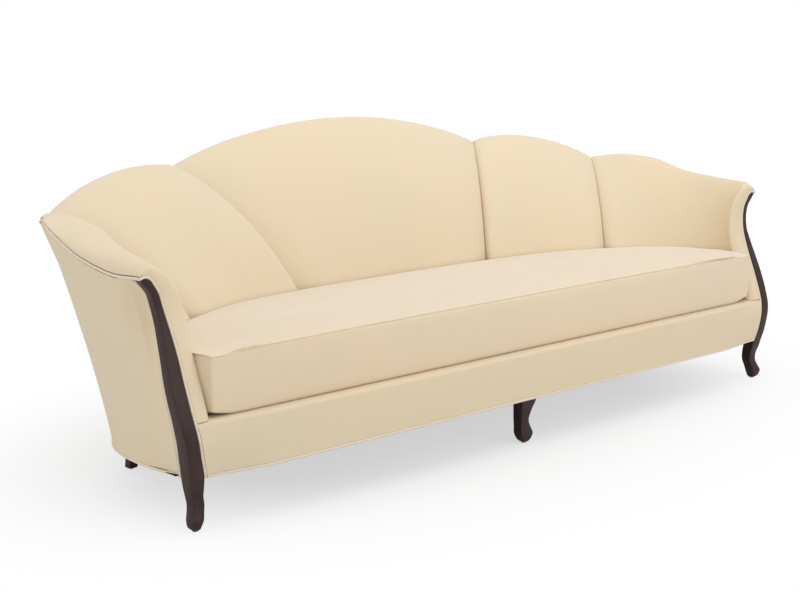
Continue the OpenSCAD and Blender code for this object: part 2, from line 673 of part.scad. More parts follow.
// The boards themselves: rear, corner and side rails of the seat, then crest, arm and tack rails
module front_rail() {
    color(frame_wood) place() difference() {
        loft([for (share = both_ways(apron_x_shares)) front_rail_ring(share)]);
        bolt_holes();
    }
}
module rear_rail() {
    color(frame_wood) place() loft([for (g = both_ways(back_half)) rail_ring(g)]);
}
module corner_rail() {
    color(frame_wood) loft([for (g = corner_plain) rail_ring(g)]);
}
module side_rail() {
    color(frame_wood) loft([for (g = arm_plain) rail_ring(g)]);
}
stump_at = 8.2;
rail_stop = 8.5;
arm_rail_stations = [for (g = arm_plain) if (g <= rail_stop) g];
tack_stations = [for (g = arm_plain) if (g <= stump_at) g];
module crest_rail_centre() {
    color(frame_wood) place() loft([for (g = both_ways(back_half)) crest_rail_ring(g)]);
}
module crest_rail() {
    color(frame_wood) loft([for (g = corner_plain) crest_rail_ring(g)]);
}
module arm_rail() {
    color(frame_wood) loft([for (g = arm_rail_stations) crest_rail_ring(g)]);
}
module tack_rail_centre() {
    color(frame_wood) place() loft([for (g = both_ways(back_half)) tack_ring(g)]);
}
module tack_rail() {
    color(frame_wood) loft([for (g = corner_plain) tack_ring(g)]);
}
module arm_tack_rail() {
    color(frame_wood) loft([for (g = tack_stations) tack_ring(g)]);
}

// A board that stands in one of the fanned planes
module in_plane(g) {
    a = at(plane_angles, g, true);
    translate(spot(g, 0, 0)) rotate([0, 0, a]) rotate([right_angle, 0, 0])
        translate([0, 0, -board_t / 2]) linear_extrude(board_t) children();
}
upright_step_shares = [0, 0.25, 0.5, 0.75, 1];
module upright(g) {
    top = crest_rail_low(g) - slope_room;
    above_springs = deck_z + slack;
    shoulder = tack_z + tack_rail_h + slack;
    front = behind_pad(g) + skew_room;
    tack_back = at(pad_ts, g) + front + tack_t;
    heights = [for (q = upright_step_shares) mix(shoulder, top, q)];
    function rear(z) = min(panel_r(g, z) - panel_t - skew_back, max(lining_r(g, z) + front + upright_d,
        (hem_r(g) - rail_out) * (top - z) / (top - above_springs)));
    color(frame_wood) in_plane(g) polygon(concat(
        [[hem_r(g) - rail_in, rail_top + fit], [hem_r(g) - rail_in, above_springs]],
        tack_back < hem_r(g) - rail_in ? [[tack_back, above_springs]] : [],
        [[tack_back, shoulder]],
        [for (z = heights) [lining_r(g, z) + front, z]],
        [for (z = reversed(heights)) [rear(z), z]],
        [[hem_r(g) - rail_out, above_springs], [hem_r(g) - rail_out, rail_top + fit]]));
}

// Springs: zigzag wire from the front rail to the rail behind it, held down by clips
spring_pitch_share = 0.1064;
spring_pitch = half_w * spring_pitch_share;
spring_half_w = 20;
spring_wave = 80;
wave_shares = [[0.12, -1], [0.38, -1], [0.62, 1], [0.88, 1]];
spring_sides = 4;
spring_front = front_rail_back - board_t / 2;
spring_xs = [for (i = [0:spring_count - 1]) each [-(i + 0.5) * spring_pitch, (i + 0.5) * spring_pitch]];
function spring_back(x) = line_at(rail_line, 1, x) + board_t / 2;
module seat_springs() {
    color(steel) place() for (x = spring_xs) {
        run = spring_back(x) - spring_front;
        waves = floor(run / spring_wave);
        step = run / waves;
        tube(concat(
            [[x, spring_front, spring_z]],
            [for (i = [0:waves - 1]) for (p = wave_shares)
                [x + p[1] * spring_half_w, spring_front + (i + p[0]) * step, spring_z]],
            [[x, spring_front + run, spring_z]]), spring_wire_d, [0, 0, 1], spring_sides);
    }
}
clip_size = [16, 10, 1.5];
module spring_clips() {
    color(steel) place() for (x = spring_xs) for (y = [spring_front, spring_back(x)])
        translate([x - clip_size[0] / 2, y - clip_size[1] / 2, spring_z + spring_wire_d / 2 + fit])
            cube(clip_size);
}

// Deck pad on the springs, and the dust cover under the rails
deck_line = [for (g = both_ways([0, 0.9, 2, 3, 4, 5, 6.2, 7.4, 8, 8.8, 9.35])) spot(g, -slack, 0)];
deck_front = [for (share = reversed(both_ways(apron_x_shares))) if (abs(share) < 1)
    apron_spot(share, apron_lip + slack, deck_top)];
module deck_pad() {
    color(cloth) place() translate([0, 0, deck_z]) linear_extrude(deck_t) polygon(
        [for (p = concat(deck_front, deck_line)) [p[0], p[1]]]);
}
dust_t = 1;
module dust_cover() {
    front = piping_d + fit + slack;
    side_stations = [for (g = arm_plain) if (g < arm_turn) g];
    line = [for (g = both_ways(concat(back_half, [2.6, 3, 3.4], side_stations)))
        spot(g, hem_r(abs(g)) - piping_d - slack, 0)];
    in_x = post_in(hem_z) - piping_d - slack;
    out_x = base_x(arm_end) + hem_r(arm_end) - 2 * piping_d;
    behind_post = post_back(hem_z) + piping_d;
    hole = leg_w + 2 * slack;
    color(dark_cloth) place() translate([0, 0, rail_z - dust_t - fit]) difference() {
        linear_extrude(dust_t) polygon(concat(
            [for (p = [[out_x, behind_post], [in_x, behind_post], [in_x * apron_turn_share, front],
                [-in_x * apron_turn_share, front], [-in_x, behind_post], [-out_x, behind_post]]) p],
            [for (p = line) [p[0], p[1]]]));
        for (p = [rear_leg_at, [-rear_leg_at[0], rear_leg_at[1], 0], middle_leg_at, [0, front_leg_y, 0]])
            translate([p[0] - hole / 2, p[1] - hole / 2, -overrun])
                cube([hole, hole, dust_t + 2 * overrun]);
    }
}

// Webbing behind the pads, from the tack rail up to the crest rail. A band lies flat on one facet of
// the lining, between two of its stations.
web_rows = 8;
module web_band(from, to, middle = 0.5) {
    run = norm(spot(to, 0, 0) - spot(from, 0, 0));
    half = web_w / run / 2;
    function band_spot(t, i, back) =
        let (p = pad_lining(from)[i], q = pad_lining(to)[i])
        mix(spot(from, p[0] + back, p[1]), spot(to, q[0] + back, q[1]), t);
    function band_ring(t) = concat(
        [for (i = [0:web_rows - 1]) band_spot(t, i, web_gap(from))],
        reversed([for (i = [0:web_rows - 1]) band_spot(t, i, web_gap(from) + web_t)]));
    color(jute) loft([band_ring(middle - half), band_ring(middle + half)]);
}
module back_webbing() {
    place() for (side = [false, true]) mirror([side ? 1 : 0, 0, 0]) {
        for (k = [0:len(back_half) - 3]) web_band(back_half[k], back_half[k + 1]);
        web_band(1.4, 1.75);
        for (k = [1:len(corner_plain) - 3]) web_band(corner_plain[k], corner_plain[k + 1]);
    }
}
module arm_webbing() {
    for (k = [1:2:5]) web_band(arm_plain[k], arm_plain[k + 1]);
}

// Seat cushion: a boxed cushion with its plan from the tub, its sides slightly full and its top crowned
cushion_stations = both_ways([0, 0.8, 1.6, 2.4, 3.2, 4, 5, 6, 7, 7.6, 8.2, 8.6, 9, 9.4, 9.8]);
cushion_corner = 8;
cover_t = 3;
// Side levels: share of the height, then how far the edge draws in as a share of the half depth
side_levels = [[0, 0.030], [0.04, 0.006], [0.5, -0.004], [0.96, 0.004], [1, 0.020]];
// Crown levels: share of the crown, then how far in from the edge as a share of the half depth
crown_levels = [[0.45, 0.15], [0.8, 0.40], [1, 0.80]];
end_draw_share = 0.22;
// The crown fades out where the cushion is less deep than this, towards its ends
full_crown_share = 0.4;
function cushion_line(in, edge) =
    let (back = [for (g = cushion_stations) spot(g, -cushion_gap - in, seat_h)])
    let (last = len(back) - 1)
    let (front_half = back[last][0] - cushion_corner)
    [for (i = [0:last])
        let (front = [front_half * (2 * i / last - 1), cushion_setback + in])
        let (middle_y = (front[1] + back[i][1]) / 2)
        [for (p = [back[i], front]) [p[0] * (1 - end_draw_share * edge), mix(p[1], middle_y, edge)]]];
function cushion_ring(line, z, draw, rise) =
    let (drawn = [for (pair = line)
        let (middle = (pair[0] + pair[1]) / 2)
        let (full = min(norm(pair[0] - pair[1]) / (body_d * full_crown_share), 1))
        [for (p = pair) concat(mix(p, middle, draw), z + rise * full)]])
    concat([for (pair = drawn) pair[0]], reversed([for (pair = drawn) pair[1]]));
module cushion_form(in) {
    low = cushion_low + in;
    high = seat_h - in;
    top_edge = side_levels[len(side_levels) - 1][1];
    loft(concat(
        [for (level = side_levels)
            cushion_ring(cushion_line(in, level[1]), mix(low, high, level[0]), 0, 0)],
        [for (level = crown_levels)
            cushion_ring(cushion_line(in, top_edge), high, level[1], cushion_crown * level[0])]));
}
module cushion_cover() {
    color(cloth) place() difference() {
        cushion_form(0);
        cushion_form(cover_t);
    }
}
module cushion_core() {
    color(foam) place() cushion_form(cover_t + slack);
}

place(true) front_post();  // front_post_left
place() front_post();  // front_post_right
centre_front_leg();
place(true) rear_leg(rear_leg_at, rake_out);  // rear_leg_left
place() rear_leg(rear_leg_at, rake_out);  // rear_leg_right
place() rear_leg(middle_leg_at, [0, leg_rake]);  // centre_rear_leg
foot_glides();
leg_plates();
leg_bolts();
front_rail();
rear_rail();
place(true) corner_rail();  // corner_rail_left
place() corner_rail();  // corner_rail_right
place(true) side_rail();  // side_rail_left
place() side_rail();  // side_rail_right
leg_blocks();
seat_brace(-brace_x);  // seat_brace_left
seat_brace(0);  // seat_brace_centre
seat_brace(brace_x);  // seat_brace_right
corner_blocks();
block_screws();
place() upright(0);  // upright_centre
place(true) upright(inner_seam);  // upright_inner_left
place() upright(inner_seam);  // upright_inner_right
place(true) upright(outer_seam);  // upright_outer_left
place() upright(outer_seam);  // upright_outer_right
place(true) upright(stump_at);  // arm_stump_left
place() upright(stump_at);  // arm_stump_right
crest_rail_centre();
place(true) crest_rail();  // crest_rail_left
place() crest_rail();  // crest_rail_right
place(true) arm_rail();  // arm_rail_left
place() arm_rail();  // arm_rail_right
tack_rail_centre();
place(true) tack_rail();  // tack_rail_left
place() tack_rail();  // tack_rail_right
place(true) arm_tack_rail();  // arm_tack_rail_left
place() arm_tack_rail();  // arm_tack_rail_right
seat_springs();
spring_clips();
deck_pad();
back_webbing();
place(true) arm_webbing();  // arm_webbing_left
place() arm_webbing();  // arm_webbing_right
back_pad_centre();
place(true) corner_pad();  // back_pad_left
place() corner_pad();  // back_pad_right
place(true) arm_pad();  // arm_pad_left
place() arm_pad();  // arm_pad_right
apron_pad();
outside_back();
place(true) outside_arm();  // outside_arm_left
place() outside_arm();  // outside_arm_right
hem_piping();
roll_piping();
place(true) post_piping();  // post_piping_left
place() post_piping();  // post_piping_right
dust_cover();
cushion_cover();
cushion_core();
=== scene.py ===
"""Cabriole sofa: its looks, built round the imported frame. Metres, the front towards -Y, +Z up."""

import json
import math

import bmesh
import bpy
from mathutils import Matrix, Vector, kdtree, noise


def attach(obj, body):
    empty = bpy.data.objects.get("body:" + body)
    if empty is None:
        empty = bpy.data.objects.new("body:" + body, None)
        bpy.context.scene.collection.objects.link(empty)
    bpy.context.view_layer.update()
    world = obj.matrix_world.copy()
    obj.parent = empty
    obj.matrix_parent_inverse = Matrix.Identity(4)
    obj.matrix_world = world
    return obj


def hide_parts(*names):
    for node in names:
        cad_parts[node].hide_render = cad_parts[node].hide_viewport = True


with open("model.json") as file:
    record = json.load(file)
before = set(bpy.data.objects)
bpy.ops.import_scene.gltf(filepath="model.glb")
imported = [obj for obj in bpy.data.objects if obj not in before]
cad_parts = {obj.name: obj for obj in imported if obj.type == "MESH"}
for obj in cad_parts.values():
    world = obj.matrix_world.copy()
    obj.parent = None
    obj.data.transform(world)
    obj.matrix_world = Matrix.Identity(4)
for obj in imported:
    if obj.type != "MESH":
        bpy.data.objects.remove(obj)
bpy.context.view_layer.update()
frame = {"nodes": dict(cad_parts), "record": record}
scene = bpy.context.scene
scene.view_settings.view_transform = "Standard"

# Camera
# It stands in front of the left arm, a little above the back, as the photograph was taken.
# Its place was found from the sofa's own left-right symmetry.
picture_w_px = 800
focal_px = 1510
sensor_w = 36
camera_reach = 100
camera_place = (-3.3042, -3.5840, 1.3569)
camera_dip, camera_swing = 11.17, 41.82
right_angle = 90
camera_data = bpy.data.cameras.new("camera")
camera_data.sensor_width = sensor_w
camera_data.lens = focal_px / picture_w_px * sensor_w
camera_data.clip_end = camera_reach
camera = bpy.data.objects.new("camera", camera_data)
camera.location = camera_place
camera.rotation_euler = [math.radians(angle) for angle in (right_angle - camera_dip, 0, -camera_swing)]
scene.collection.objects.link(camera)
scene.camera = camera


# Upholstery cloth
# A smooth plain-weave cloth, cream with a straw cast, matt, laid over foam and wadding.
# Its weave and the slow drift of its tone are two groups that the other cloths share.
def feed(tree, node, inputs):
    """Gives the inputs of a node their values, or links them to other nodes."""
    for place, value in dict(inputs).items():
        if isinstance(value, bpy.types.NodeSocket):
            tree.links.new(value, node.inputs[place])
        else:
            node.inputs[place].default_value = value


def add(tree, kind, inputs=(), **settings):
    made = tree.nodes.new(kind)
    for name, value in settings.items():
        setattr(made, name, value)
    feed(tree, made, inputs)
    return made


def maths(tree, operation, first, second=0.0):
    return add(tree, "ShaderNodeMath", {0: first, 1: second}, operation=operation).outputs[0]


FACTOR, COLOUR_A, COLOUR_B, MIXED = 0, 6, 7, 2


def mixed_colour(tree, factor, first, second, how="MIX"):
    inputs = {FACTOR: factor, COLOUR_A: first, COLOUR_B: second}
    return add(tree, "ShaderNodeMix", inputs, data_type="RGBA", blend_type=how).outputs[MIXED]


def new_group(name, inputs, outputs):
    tree = bpy.data.node_groups.new(name, "ShaderNodeTree")
    for label, value in inputs:
        kind = "NodeSocketColor" if hasattr(value, "__len__") else "NodeSocketFloat"
        tree.interface.new_socket(label, in_out="INPUT", socket_type=kind).default_value = value
    for label, kind in outputs:
        tree.interface.new_socket(label, in_out="OUTPUT", socket_type=kind)
    return tree, add(tree, "NodeGroupInput").outputs


def give_out(tree, **sockets):
    add(tree, "NodeGroupOutput", sockets)


def use_group(tree, name, inputs):
    return add(tree, "ShaderNodeGroup", inputs, node_tree=bpy.data.node_groups[name]).outputs


weave, given = new_group(
    "plain_weave", [("Threads", 900.0), ("Slub", 0.3)], [("Height", "NodeSocketFloat")]
)
cloth_map = add(weave, "ShaderNodeUVMap", uv_map="cloth").outputs[0]
wander = add(weave, "ShaderNodeTexNoise", {"Vector": cloth_map, "Scale": 45.0, "Detail": 2.0}).outputs[0]
slub = maths(weave, "MULTIPLY", maths(weave, "SUBTRACT", wander, 0.5), given["Slub"])
halves = add(weave, "ShaderNodeSeparateXYZ", {0: cloth_map}).outputs
warp, weft = [
    maths(weave, "ADD", maths(weave, "MULTIPLY", half, given["Threads"]), slub) for half in halves[:2]
]
warp_round, weft_round = [
    maths(weave, "ABSOLUTE", maths(weave, "SINE", maths(weave, "MULTIPLY", threads, math.pi)))
    for threads in (warp, weft)
]
counted = maths(weave, "ADD", maths(weave, "FLOOR", warp), maths(weave, "FLOOR", weft))
over = maths(weave, "PINGPONG", counted, 1.0)
under = maths(weave, "SUBTRACT", 1.0, over)
lifted = maths(
    weave, "ADD", maths(weave, "MULTIPLY", warp_round, over), maths(weave, "MULTIPLY", weft_round, under)
)
give_out(weave, Height=lifted)

drift, given = new_group(
    "tone_drift",
    [("Cool", (0.8, 0.7, 0.5, 1)), ("Warm", (0.8, 0.7, 0.5, 1)), ("Scale", 2.5)],
    [("Colour", "NodeSocketColor"), ("Fibre", "NodeSocketFloat")],
)
place = add(drift, "ShaderNodeTexCoord").outputs["Object"]
slow = add(drift, "ShaderNodeTexNoise", {"Vector": place, "Scale": given["Scale"], "Detail": 3.0}).outputs[0]
warmth = add(drift, "ShaderNodeMapRange", {"Value": slow, "From Min": 0.35, "From Max": 0.65}).outputs[0]
fibre = add(drift, "ShaderNodeTexNoise", {"Vector": place, "Scale": 420.0, "Detail": 2.0}).outputs[0]
give_out(drift, Colour=mixed_colour(drift, warmth, given["Cool"], given["Warm"]), Fibre=fibre)


def new_material(name):
    material = bpy.data.materials.new(name)
    material.use_nodes = True
    return material, material.node_tree, material.node_tree.nodes["Principled BSDF"]


def cloth(name, cool, warm, threads, depth, sheen=0.30, matt=(0.80, 0.95), drift_scale=2.5, shade=0.94):
    """A woven cloth: two tones that drift, threads to the metre, the weave's depth, and the painted shade
    between its threads.
    """
    material, tree, shader = new_material(name)
    tone = use_group(tree, "tone_drift", {"Cool": cool + (1,), "Warm": warm + (1,), "Scale": drift_scale})
    threads_out = use_group(tree, "plain_weave", {"Threads": threads})
    # Painted shade: the base colour is darkened by shade where the weave dips between its threads, down to
    # shade at the deepest.
    thread_shade_colour = (shade, shade, shade, 1)
    painted_thread_shade = mixed_colour(tree, threads_out["Height"], thread_shade_colour, (1, 1, 1, 1))
    rough = add(tree, "ShaderNodeMapRange", {"Value": tone["Fibre"], "To Min": matt[0], "To Max": matt[1]})
    height = maths(tree, "ADD", threads_out["Height"], maths(tree, "MULTIPLY", tone["Fibre"], 0.5))
    bump = add(tree, "ShaderNodeBump", {"Height": height, "Distance": depth, "Strength": 0.6})
    feed(tree, shader, {
        "Base Color": mixed_colour(tree, 1.0, tone["Colour"], painted_thread_shade, "MULTIPLY"),
        "Roughness": rough.outputs[0], "Normal": bump.outputs[0],
        "Sheen Weight": sheen, "Sheen Roughness": 0.5, "Specular IOR Level": 0.25,
    })
    return material


cream_cloth = cloth("cream_upholstery", (0.775, 0.650, 0.462), (0.803, 0.655, 0.457), 1100.0, 0.00025)

# Petals of the back and arms
# Five padded petals run round the seat: wadding over foam and webbing, sewn to each other in deep
# seams and drawn over the rolled top. Each outer petal laps its inner neighbour, so a seam is wide
# and soft on its inner side and tight on its outer side.
half_w, body_d = 1.316, 1.000
back_h, inner_seam_h, outer_seam_h, arm_h, corner_rise = 0.953, 0.837, 0.756, 0.693, 0.043
seat_h, hem_z, deck_top, pad_z = 0.455, 0.142, 0.2926, 0.2938
mid_y = 0.49832
# The thickness of the piping, and the gaps round it, beside it and round the boards
piping_d, cord_gap, cloth_gap, wood_gap = 0.008, 0.0003, 0.0006, 0.0012
# Stations fan out from the middle of the back: 2 and 4 are the seams, 10 the front of the arm. The
# tables have one entry for each: where the face starts, how its plane is turned, how far the crest,
# the roll and the hem reach, how far the roll drops, how the arm rises, and how thick the padding is.
inner_seam, outer_seam, arm_turn, arm_end = 2, 4, 9, 10
plan_x_shares = [0, 0.152, 0.311, 0.531, 0.684, 0.748, 0.808, 0.858, 0.898, 0.908, 0.887]
plan_y_shares = [0.613, 0.608, 0.602, 0.564, 0.480, 0.430, 0.362, 0.290, 0.208, 0.139, 0.060]
plane_angles = [90, 74, 53, 54, 50, 44.5, 42, 38, 25, 8, 0]
crest_shares = [0.337, 0.358, 0.412, 0.387, 0.394, 0.315, 0.204, 0.130, 0.079, 0.072, 0.101]
roll_shares = [0.046, 0.046, 0.046, 0.046, 0.050, 0.068, 0.128, 0.105, 0.063, 0.046, 0.038]
hem_shares = [0.217, 0.225, 0.245, 0.235, 0.215, 0.200, 0.175, 0.143, 0.084, 0.057, 0.066]
roll_drops = [0.040, 0.040, 0.038, 0.038, 0.030, 0.013, 0.002, 0.027, 0.043, 0.032, 0.024]
arm_rise_shares = [1, 1.18, 0.90, 0.46, 0.24, 0.13, 0]
pad_ts = [0.060, 0.060, 0.060, 0.060, 0.058, 0.052, 0.042, 0.030, 0.024, 0.030, 0.062]
# The front posts, which the arms' front ends follow: height, front edge, middle, width, depth
post_h, post_w, post_d, post_sweep, post_knee_y = 0.662, 0.040, 0.035, 0.116, 0.014
post_x, tip_r, tip_flare = half_w * 0.9095, 0.013, 0.0085
post_shares = [
    [0.214, 0.105, 0.50, 1.10, 1.25], [0.256, 0.050, 0.66, 1.05, 1.31],
    [0.301, 0.020, 0.82, 1.01, 1.32], [0.361, 0.000, 0.98, 1.00, 1.30],
    [0.407, 0.030, 1.10, 1.00, 1.26], [0.452, 0.100, 1.17, 0.98, 1.20],
    [0.527, 0.258, 1.23, 1.00, 1.12], [0.602, 0.430, 1.22, 0.96, 1.04],
    [0.678, 0.605, 1.15, 0.85, 0.98], [0.753, 0.780, 1.11, 0.67, 0.97],
    [0.813, 0.905, 1.12, 0.49, 0.97], [0.880, 0.990, 1.29, 0.42, 0.88],
    [0.934, 1.005, 1.52, 0.42, 0.84], [0.974, 1.000, 1.96, 0.50, 0.82], [1.000, 0.995, 2.24, 0.54, 0.80],
]
post_rows = [
    [z * post_h, post_knee_y + front * post_sweep, post_x + middle * post_w, w * post_w, d * post_d]
    for z, front, middle, w, d in post_shares
]


def mix(a, b, t):
    return a + (b - a) * t


def curve(p, q, r, s, t):
    """The smooth curve through q and r, with p before them and s after them."""
    return (
        2 * q + (r - p) * t + (2 * p - 5 * q + 4 * r - s) * t * t + (3 * q - p - 3 * r + s) * t * t * t
    ) / 2


def at(table, g, odd=False):
    """A table's value at a station. An odd table changes its sign in the middle of the back."""
    last = len(table) - 1
    i = min(max(math.floor(g), 0), last - 1)
    before = table[i - 1] if i > 0 else 2 * table[0] - table[1] if odd else table[1]
    after = 2 * table[last] - table[last - 1] if i + 2 > last else table[i + 2]
    return curve(before, table[i], table[i + 1], after, g - i)


def ease(t):
    t = min(max(t, 0), 1)
    return t * t * (3 - 2 * t)


def post_at(column, z):
    """A size of the post at a height, on a smooth curve through its rows."""
    rows = post_rows
    z = min(max(z, rows[0][0]), rows[-1][0])
    i = max(k for k in range(len(rows) - 1) if rows[k][0] <= z or k == 0)
    t = (z - rows[i][0]) / (rows[i + 1][0] - rows[i][0])
    return at([row[column] for row in rows], i + t, True)


def post_front(z):
    return post_at(1, z)


def post_in(z):
    return post_at(2, z) - post_at(3, z) / 2


def post_out(z):
    return post_at(2, z) + post_at(3, z) / 2


def quarter_turn(t):
    """The angle at a share of a quarter turn."""
    return math.radians(right_angle * t)


edge_steps, tip_steps = 60, 12


def post_edge(away):
    """The post's inner edge from the hem up and over its rounded tip, at a distance from it."""
    heights = [mix(hem_z, post_h - tip_r, k / edge_steps) for k in range(edge_steps)]
    line = [(post_in(z), z) for z in heights]
    for k in range(tip_steps + 1):
        turn = quarter_turn(k / tip_steps)
        z = post_h - tip_r * (1 - math.sin(turn))
        line.append((post_in(z) + tip_r * (1 - math.cos(turn)), z))
    moved = []
    for k, (x, z) in enumerate(line):
        before, after = line[max(k - 1, 0)], line[min(k + 1, len(line) - 1)]
        dx, dz = after[0] - before[0], after[1] - before[1]
        step = math.hypot(dx, dz)
        moved.append((x - away * dz / step, z + away * dx / step))
    return moved


def crest_x(g):
    turned = math.radians(at(plane_angles, g, True))
    return half_w * at(plan_x_shares, g, True) + body_d * at(crest_shares, g) * math.cos(turned)


def crest_z(g):
    if g <= inner_seam:
        return mix(back_h, inner_seam_h, (crest_x(g) / crest_x(inner_seam)) ** 2)
    if g <= outer_seam:
        w = (crest_x(g) - crest_x(inner_seam)) / (crest_x(outer_seam) - crest_x(inner_seam))
        return mix(inner_seam_h, outer_seam_h, w) + corner_rise * 4 * w * (1 - w)
    return mix(arm_h, outer_seam_h, at(arm_rise_shares, g - outer_seam))


def reach(g):
    return body_d * at(crest_shares, g)


def roll_w(g):
    return body_d * at(roll_shares, g)


def roll_end(a):
    return reach(a) + roll_w(a)


def roll_z(g):
    return crest_z(g) - at(roll_drops, g)


def hem_r(g):
    return body_d * at(hem_shares, g)


def spot(g, r, z, back=0.0):
    """A point of the tub: its station, its distance outwards from the seat, and its height."""
    a = abs(g)
    behind = min(a, arm_turn)
    turned = math.radians(at(plane_angles, a, True))
    held = math.radians(at(plane_angles, behind, True))
    x = half_w * at(plan_x_shares, a, True) + r * math.cos(turned)
    y = body_d * at(plan_y_shares, behind) + r * math.sin(held)
    return (math.copysign(x, g), mix(y, post_front(z) + back, a - behind) - mid_y, z)


# Each seam's reach to its inner and outer side, in stations, its depth below and at the top, and
# how much of a soft edge its inner side has
seam_reaches = {inner_seam: (0.42, 0.15), outer_seam: (0.38, 0.40)}
seam_depth, seam_top_depth, seam_soft_share = 0.048, 0.018, 0.40


def valley(a):
    """How deep a seam lies at a station: 1 in the seam, 0 on the petal."""
    deepest = 0.0
    for seam, (inner, outer) in seam_reaches.items():
        d = min(abs(a - seam) / (inner if a < seam else outer), 1)
        round_edge = 1 - math.sqrt(1 - (1 - d) ** 2)
        soft_edge = (1 - d) ** 2
        deepest = max(deepest, mix(round_edge, soft_edge, seam_soft_share if a < seam else 0))
    return deepest


lean_share, round_power, full_from, full_power = 0.7, 1.3, 8.6, 3.0
roll_pad_t, roll_edge_t = 0.020, 0.006
skirt_shares, low_lean_share, thin_power = (0.0, 0.35, 0.7), 0.55, 6
face_steps, roll_steps = 34, 12


def face_r(g, s):
    """The face's distance outwards; the arm's front end swells towards the seat."""
    full = ease((abs(g) - full_from) / (arm_end - full_from))
    return reach(g) * mix(lean_share * s + (1 - lean_share) * s * s, s ** full_power, full)


def face_z(g, s):
    return mix(seat_h, crest_z(g), 1 - (1 - s) ** round_power)


def unevenness(p, size, scale):
    """The slow rise and fall of padding under cloth."""
    return size * noise.noise(Vector(p) * scale)


def pad_outline(g, inset):
    """The petal's face from the deck to the piping, drawn in by inset at a free edge."""
    a = abs(g)
    depth = valley(a)
    crest_inset = inset * front_crest_share
    points = []
    for t in skirt_shares:
        points.append((depth * seam_depth + inset, mix(pad_z, seat_h, t)))
    for k in range(face_steps + 1):
        s = k / face_steps
        dip = depth * mix(seam_depth, seam_top_depth, s)
        turn = quarter_turn(s * s)
        drawn = inset * (mix(1, front_crest_share, s) + front_belly_share * 4 * s * (1 - s))
        points.append((
            face_r(a, s) + dip + drawn * math.cos(turn),
            face_z(a, s) - dip * s / 2 - drawn * math.sin(turn),
        ))
    for k in range(1, roll_steps + 1):
        turn = quarter_turn(k / roll_steps)
        dip = depth * seam_top_depth
        points.append((
            reach(a) + (roll_w(a) - crest_inset / 3) * math.sin(turn) + dip * (1 - math.sin(turn)),
            crest_z(a) - at(roll_drops, a) * (1 - math.cos(turn)) - (dip / 2 + crest_inset) * math.cos(turn),
        ))
    return points


def pad_lining(g):
    """The hidden side of the petal, one point for each point of its face."""
    a = abs(g)
    t = at(pad_ts, a)
    points = [(t, mix(pad_z, seat_h, k)) for k in skirt_shares]
    for k in range(face_steps + 1):
        s = k / face_steps
        lean = math.atan2(reach(a), crest_z(a) - seat_h) * mix(low_lean_share, 1, s)
        thick = mix(t, roll_pad_t, s * s)
        points.append((
            face_r(a, s) + thick * math.cos(lean) * (1 - s ** thin_power),
            face_z(a, s) - thick * (math.sin(lean) if k < face_steps else 1),
        ))
    for k in range(1, roll_steps + 1):
        turn = quarter_turn(k / roll_steps)
        thick = mix(roll_pad_t, roll_edge_t, k / roll_steps)
        points.append((
            reach(a) + (roll_w(a) - thick) * math.sin(turn),
            crest_z(a) - at(roll_drops, a) * (1 - math.cos(turn)) - thick * math.cos(turn),
        ))
    return points


# The lining keeps these shares of the piping's thickness off the post: beside it, over it, in front
beside_share, over_share, before_share = 0.85, 0.9, 0.8
lining_from, lining_room = 8.8, 0.001


def beside_post(p):
    """Keeps the lining of an arm's front part off the post and over its tip."""
    x, y, z = p
    if abs(x) > post_out(post_h) + lining_room:
        return p
    if z < post_h:
        return (math.copysign(min(abs(x), post_in(z) - piping_d * beside_share), x), y, z)
    return (x, y, max(z, post_h + piping_d * over_share))


# The arm's front end turns over softly: its round on the seat side and at the post, and its depth
# below and at the tip. The round is smaller at the crest and larger halfway up.
front_r, front_post_r, front_depth, tip_depth = 0.030, 0.003, 0.028, 0.011
front_crest_share, front_belly_share = 0.4, 1.1
front_turns = (0, 11, 22, 34, 45, 56, 68, 79, 90)
tip_turn_z = 0.60
# How high the wadding rises and falls under the cloth, and how many times to the metre
wadding_waves = ((0.0016, 7.0), (0.0006, 19.0))


def spaced(line, count):
    """Points at even steps along a line of points."""
    total = lengths(line)
    points, i = [], 0
    for k in range(count):
        far = total[-1] * k / (count - 1)
        while i < len(line) - 2 and total[i + 1] < far:
            i += 1
        t = (far - total[i]) / (total[i + 1] - total[i])
        points.append(tuple(mix(p, q, t) for p, q in zip(line[i], line[i + 1])))
    return points


def front_lining(face, room):
    """The outer edge of an arm's front end: beside the piping, over the tip, and out to the roll."""
    away = piping_d * before_share + room
    level = [p for p in face if p[1] < tip_turn_z]
    beside = [(post_in(max(z, hem_z)) - away, z) for _, z in level]
    over = [p for p in post_edge(away) if p[1] > tip_turn_z]
    end_x = half_w * at(plan_x_shares, arm_end, True) + roll_end(arm_end)
    over.append((end_x - roll_edge_t, max(roll_z(arm_end), over[-1][1])))
    return beside + spaced([beside[-1]] + over, len(face) - len(level) + 1)[1:]


def front_back(z, angle):
    """How far the arm's front end stands back at a height while it turns over."""
    deep = mix(front_depth, tip_depth, ease((z - seat_h) / (tip_turn_z - seat_h)))
    return deep * (1 - math.sin(angle))


def pad_ring(g, turned=0):
    """The section at a station; turned rolls an arm's front end over, in degrees."""
    a = abs(g)
    angle = math.radians(turned)
    inset = front_r * (1 - math.cos(angle))
    face = []
    outline = pad_outline(g, inset)
    for r, z in outline:
        back = front_back(z, angle)
        p = spot(g, r, z, back)
        bump = sum(unevenness(p, *wave) for wave in wadding_waves)
        face.append(spot(g, r + bump, z, back))
    if a == arm_end:
        edge = front_lining(outline, front_post_r * (1 - math.cos(angle)))
        lining = [(math.copysign(x, g), post_front(z) + front_back(z, angle) - mid_y, z) for x, z in edge]
    else:
        lining = [spot(g, r, z, front_back(z, angle)) for r, z in pad_lining(g)]
        if a >= lining_from:
            lining = [beside_post(p) for p in lining]
    return face + lining[::-1]


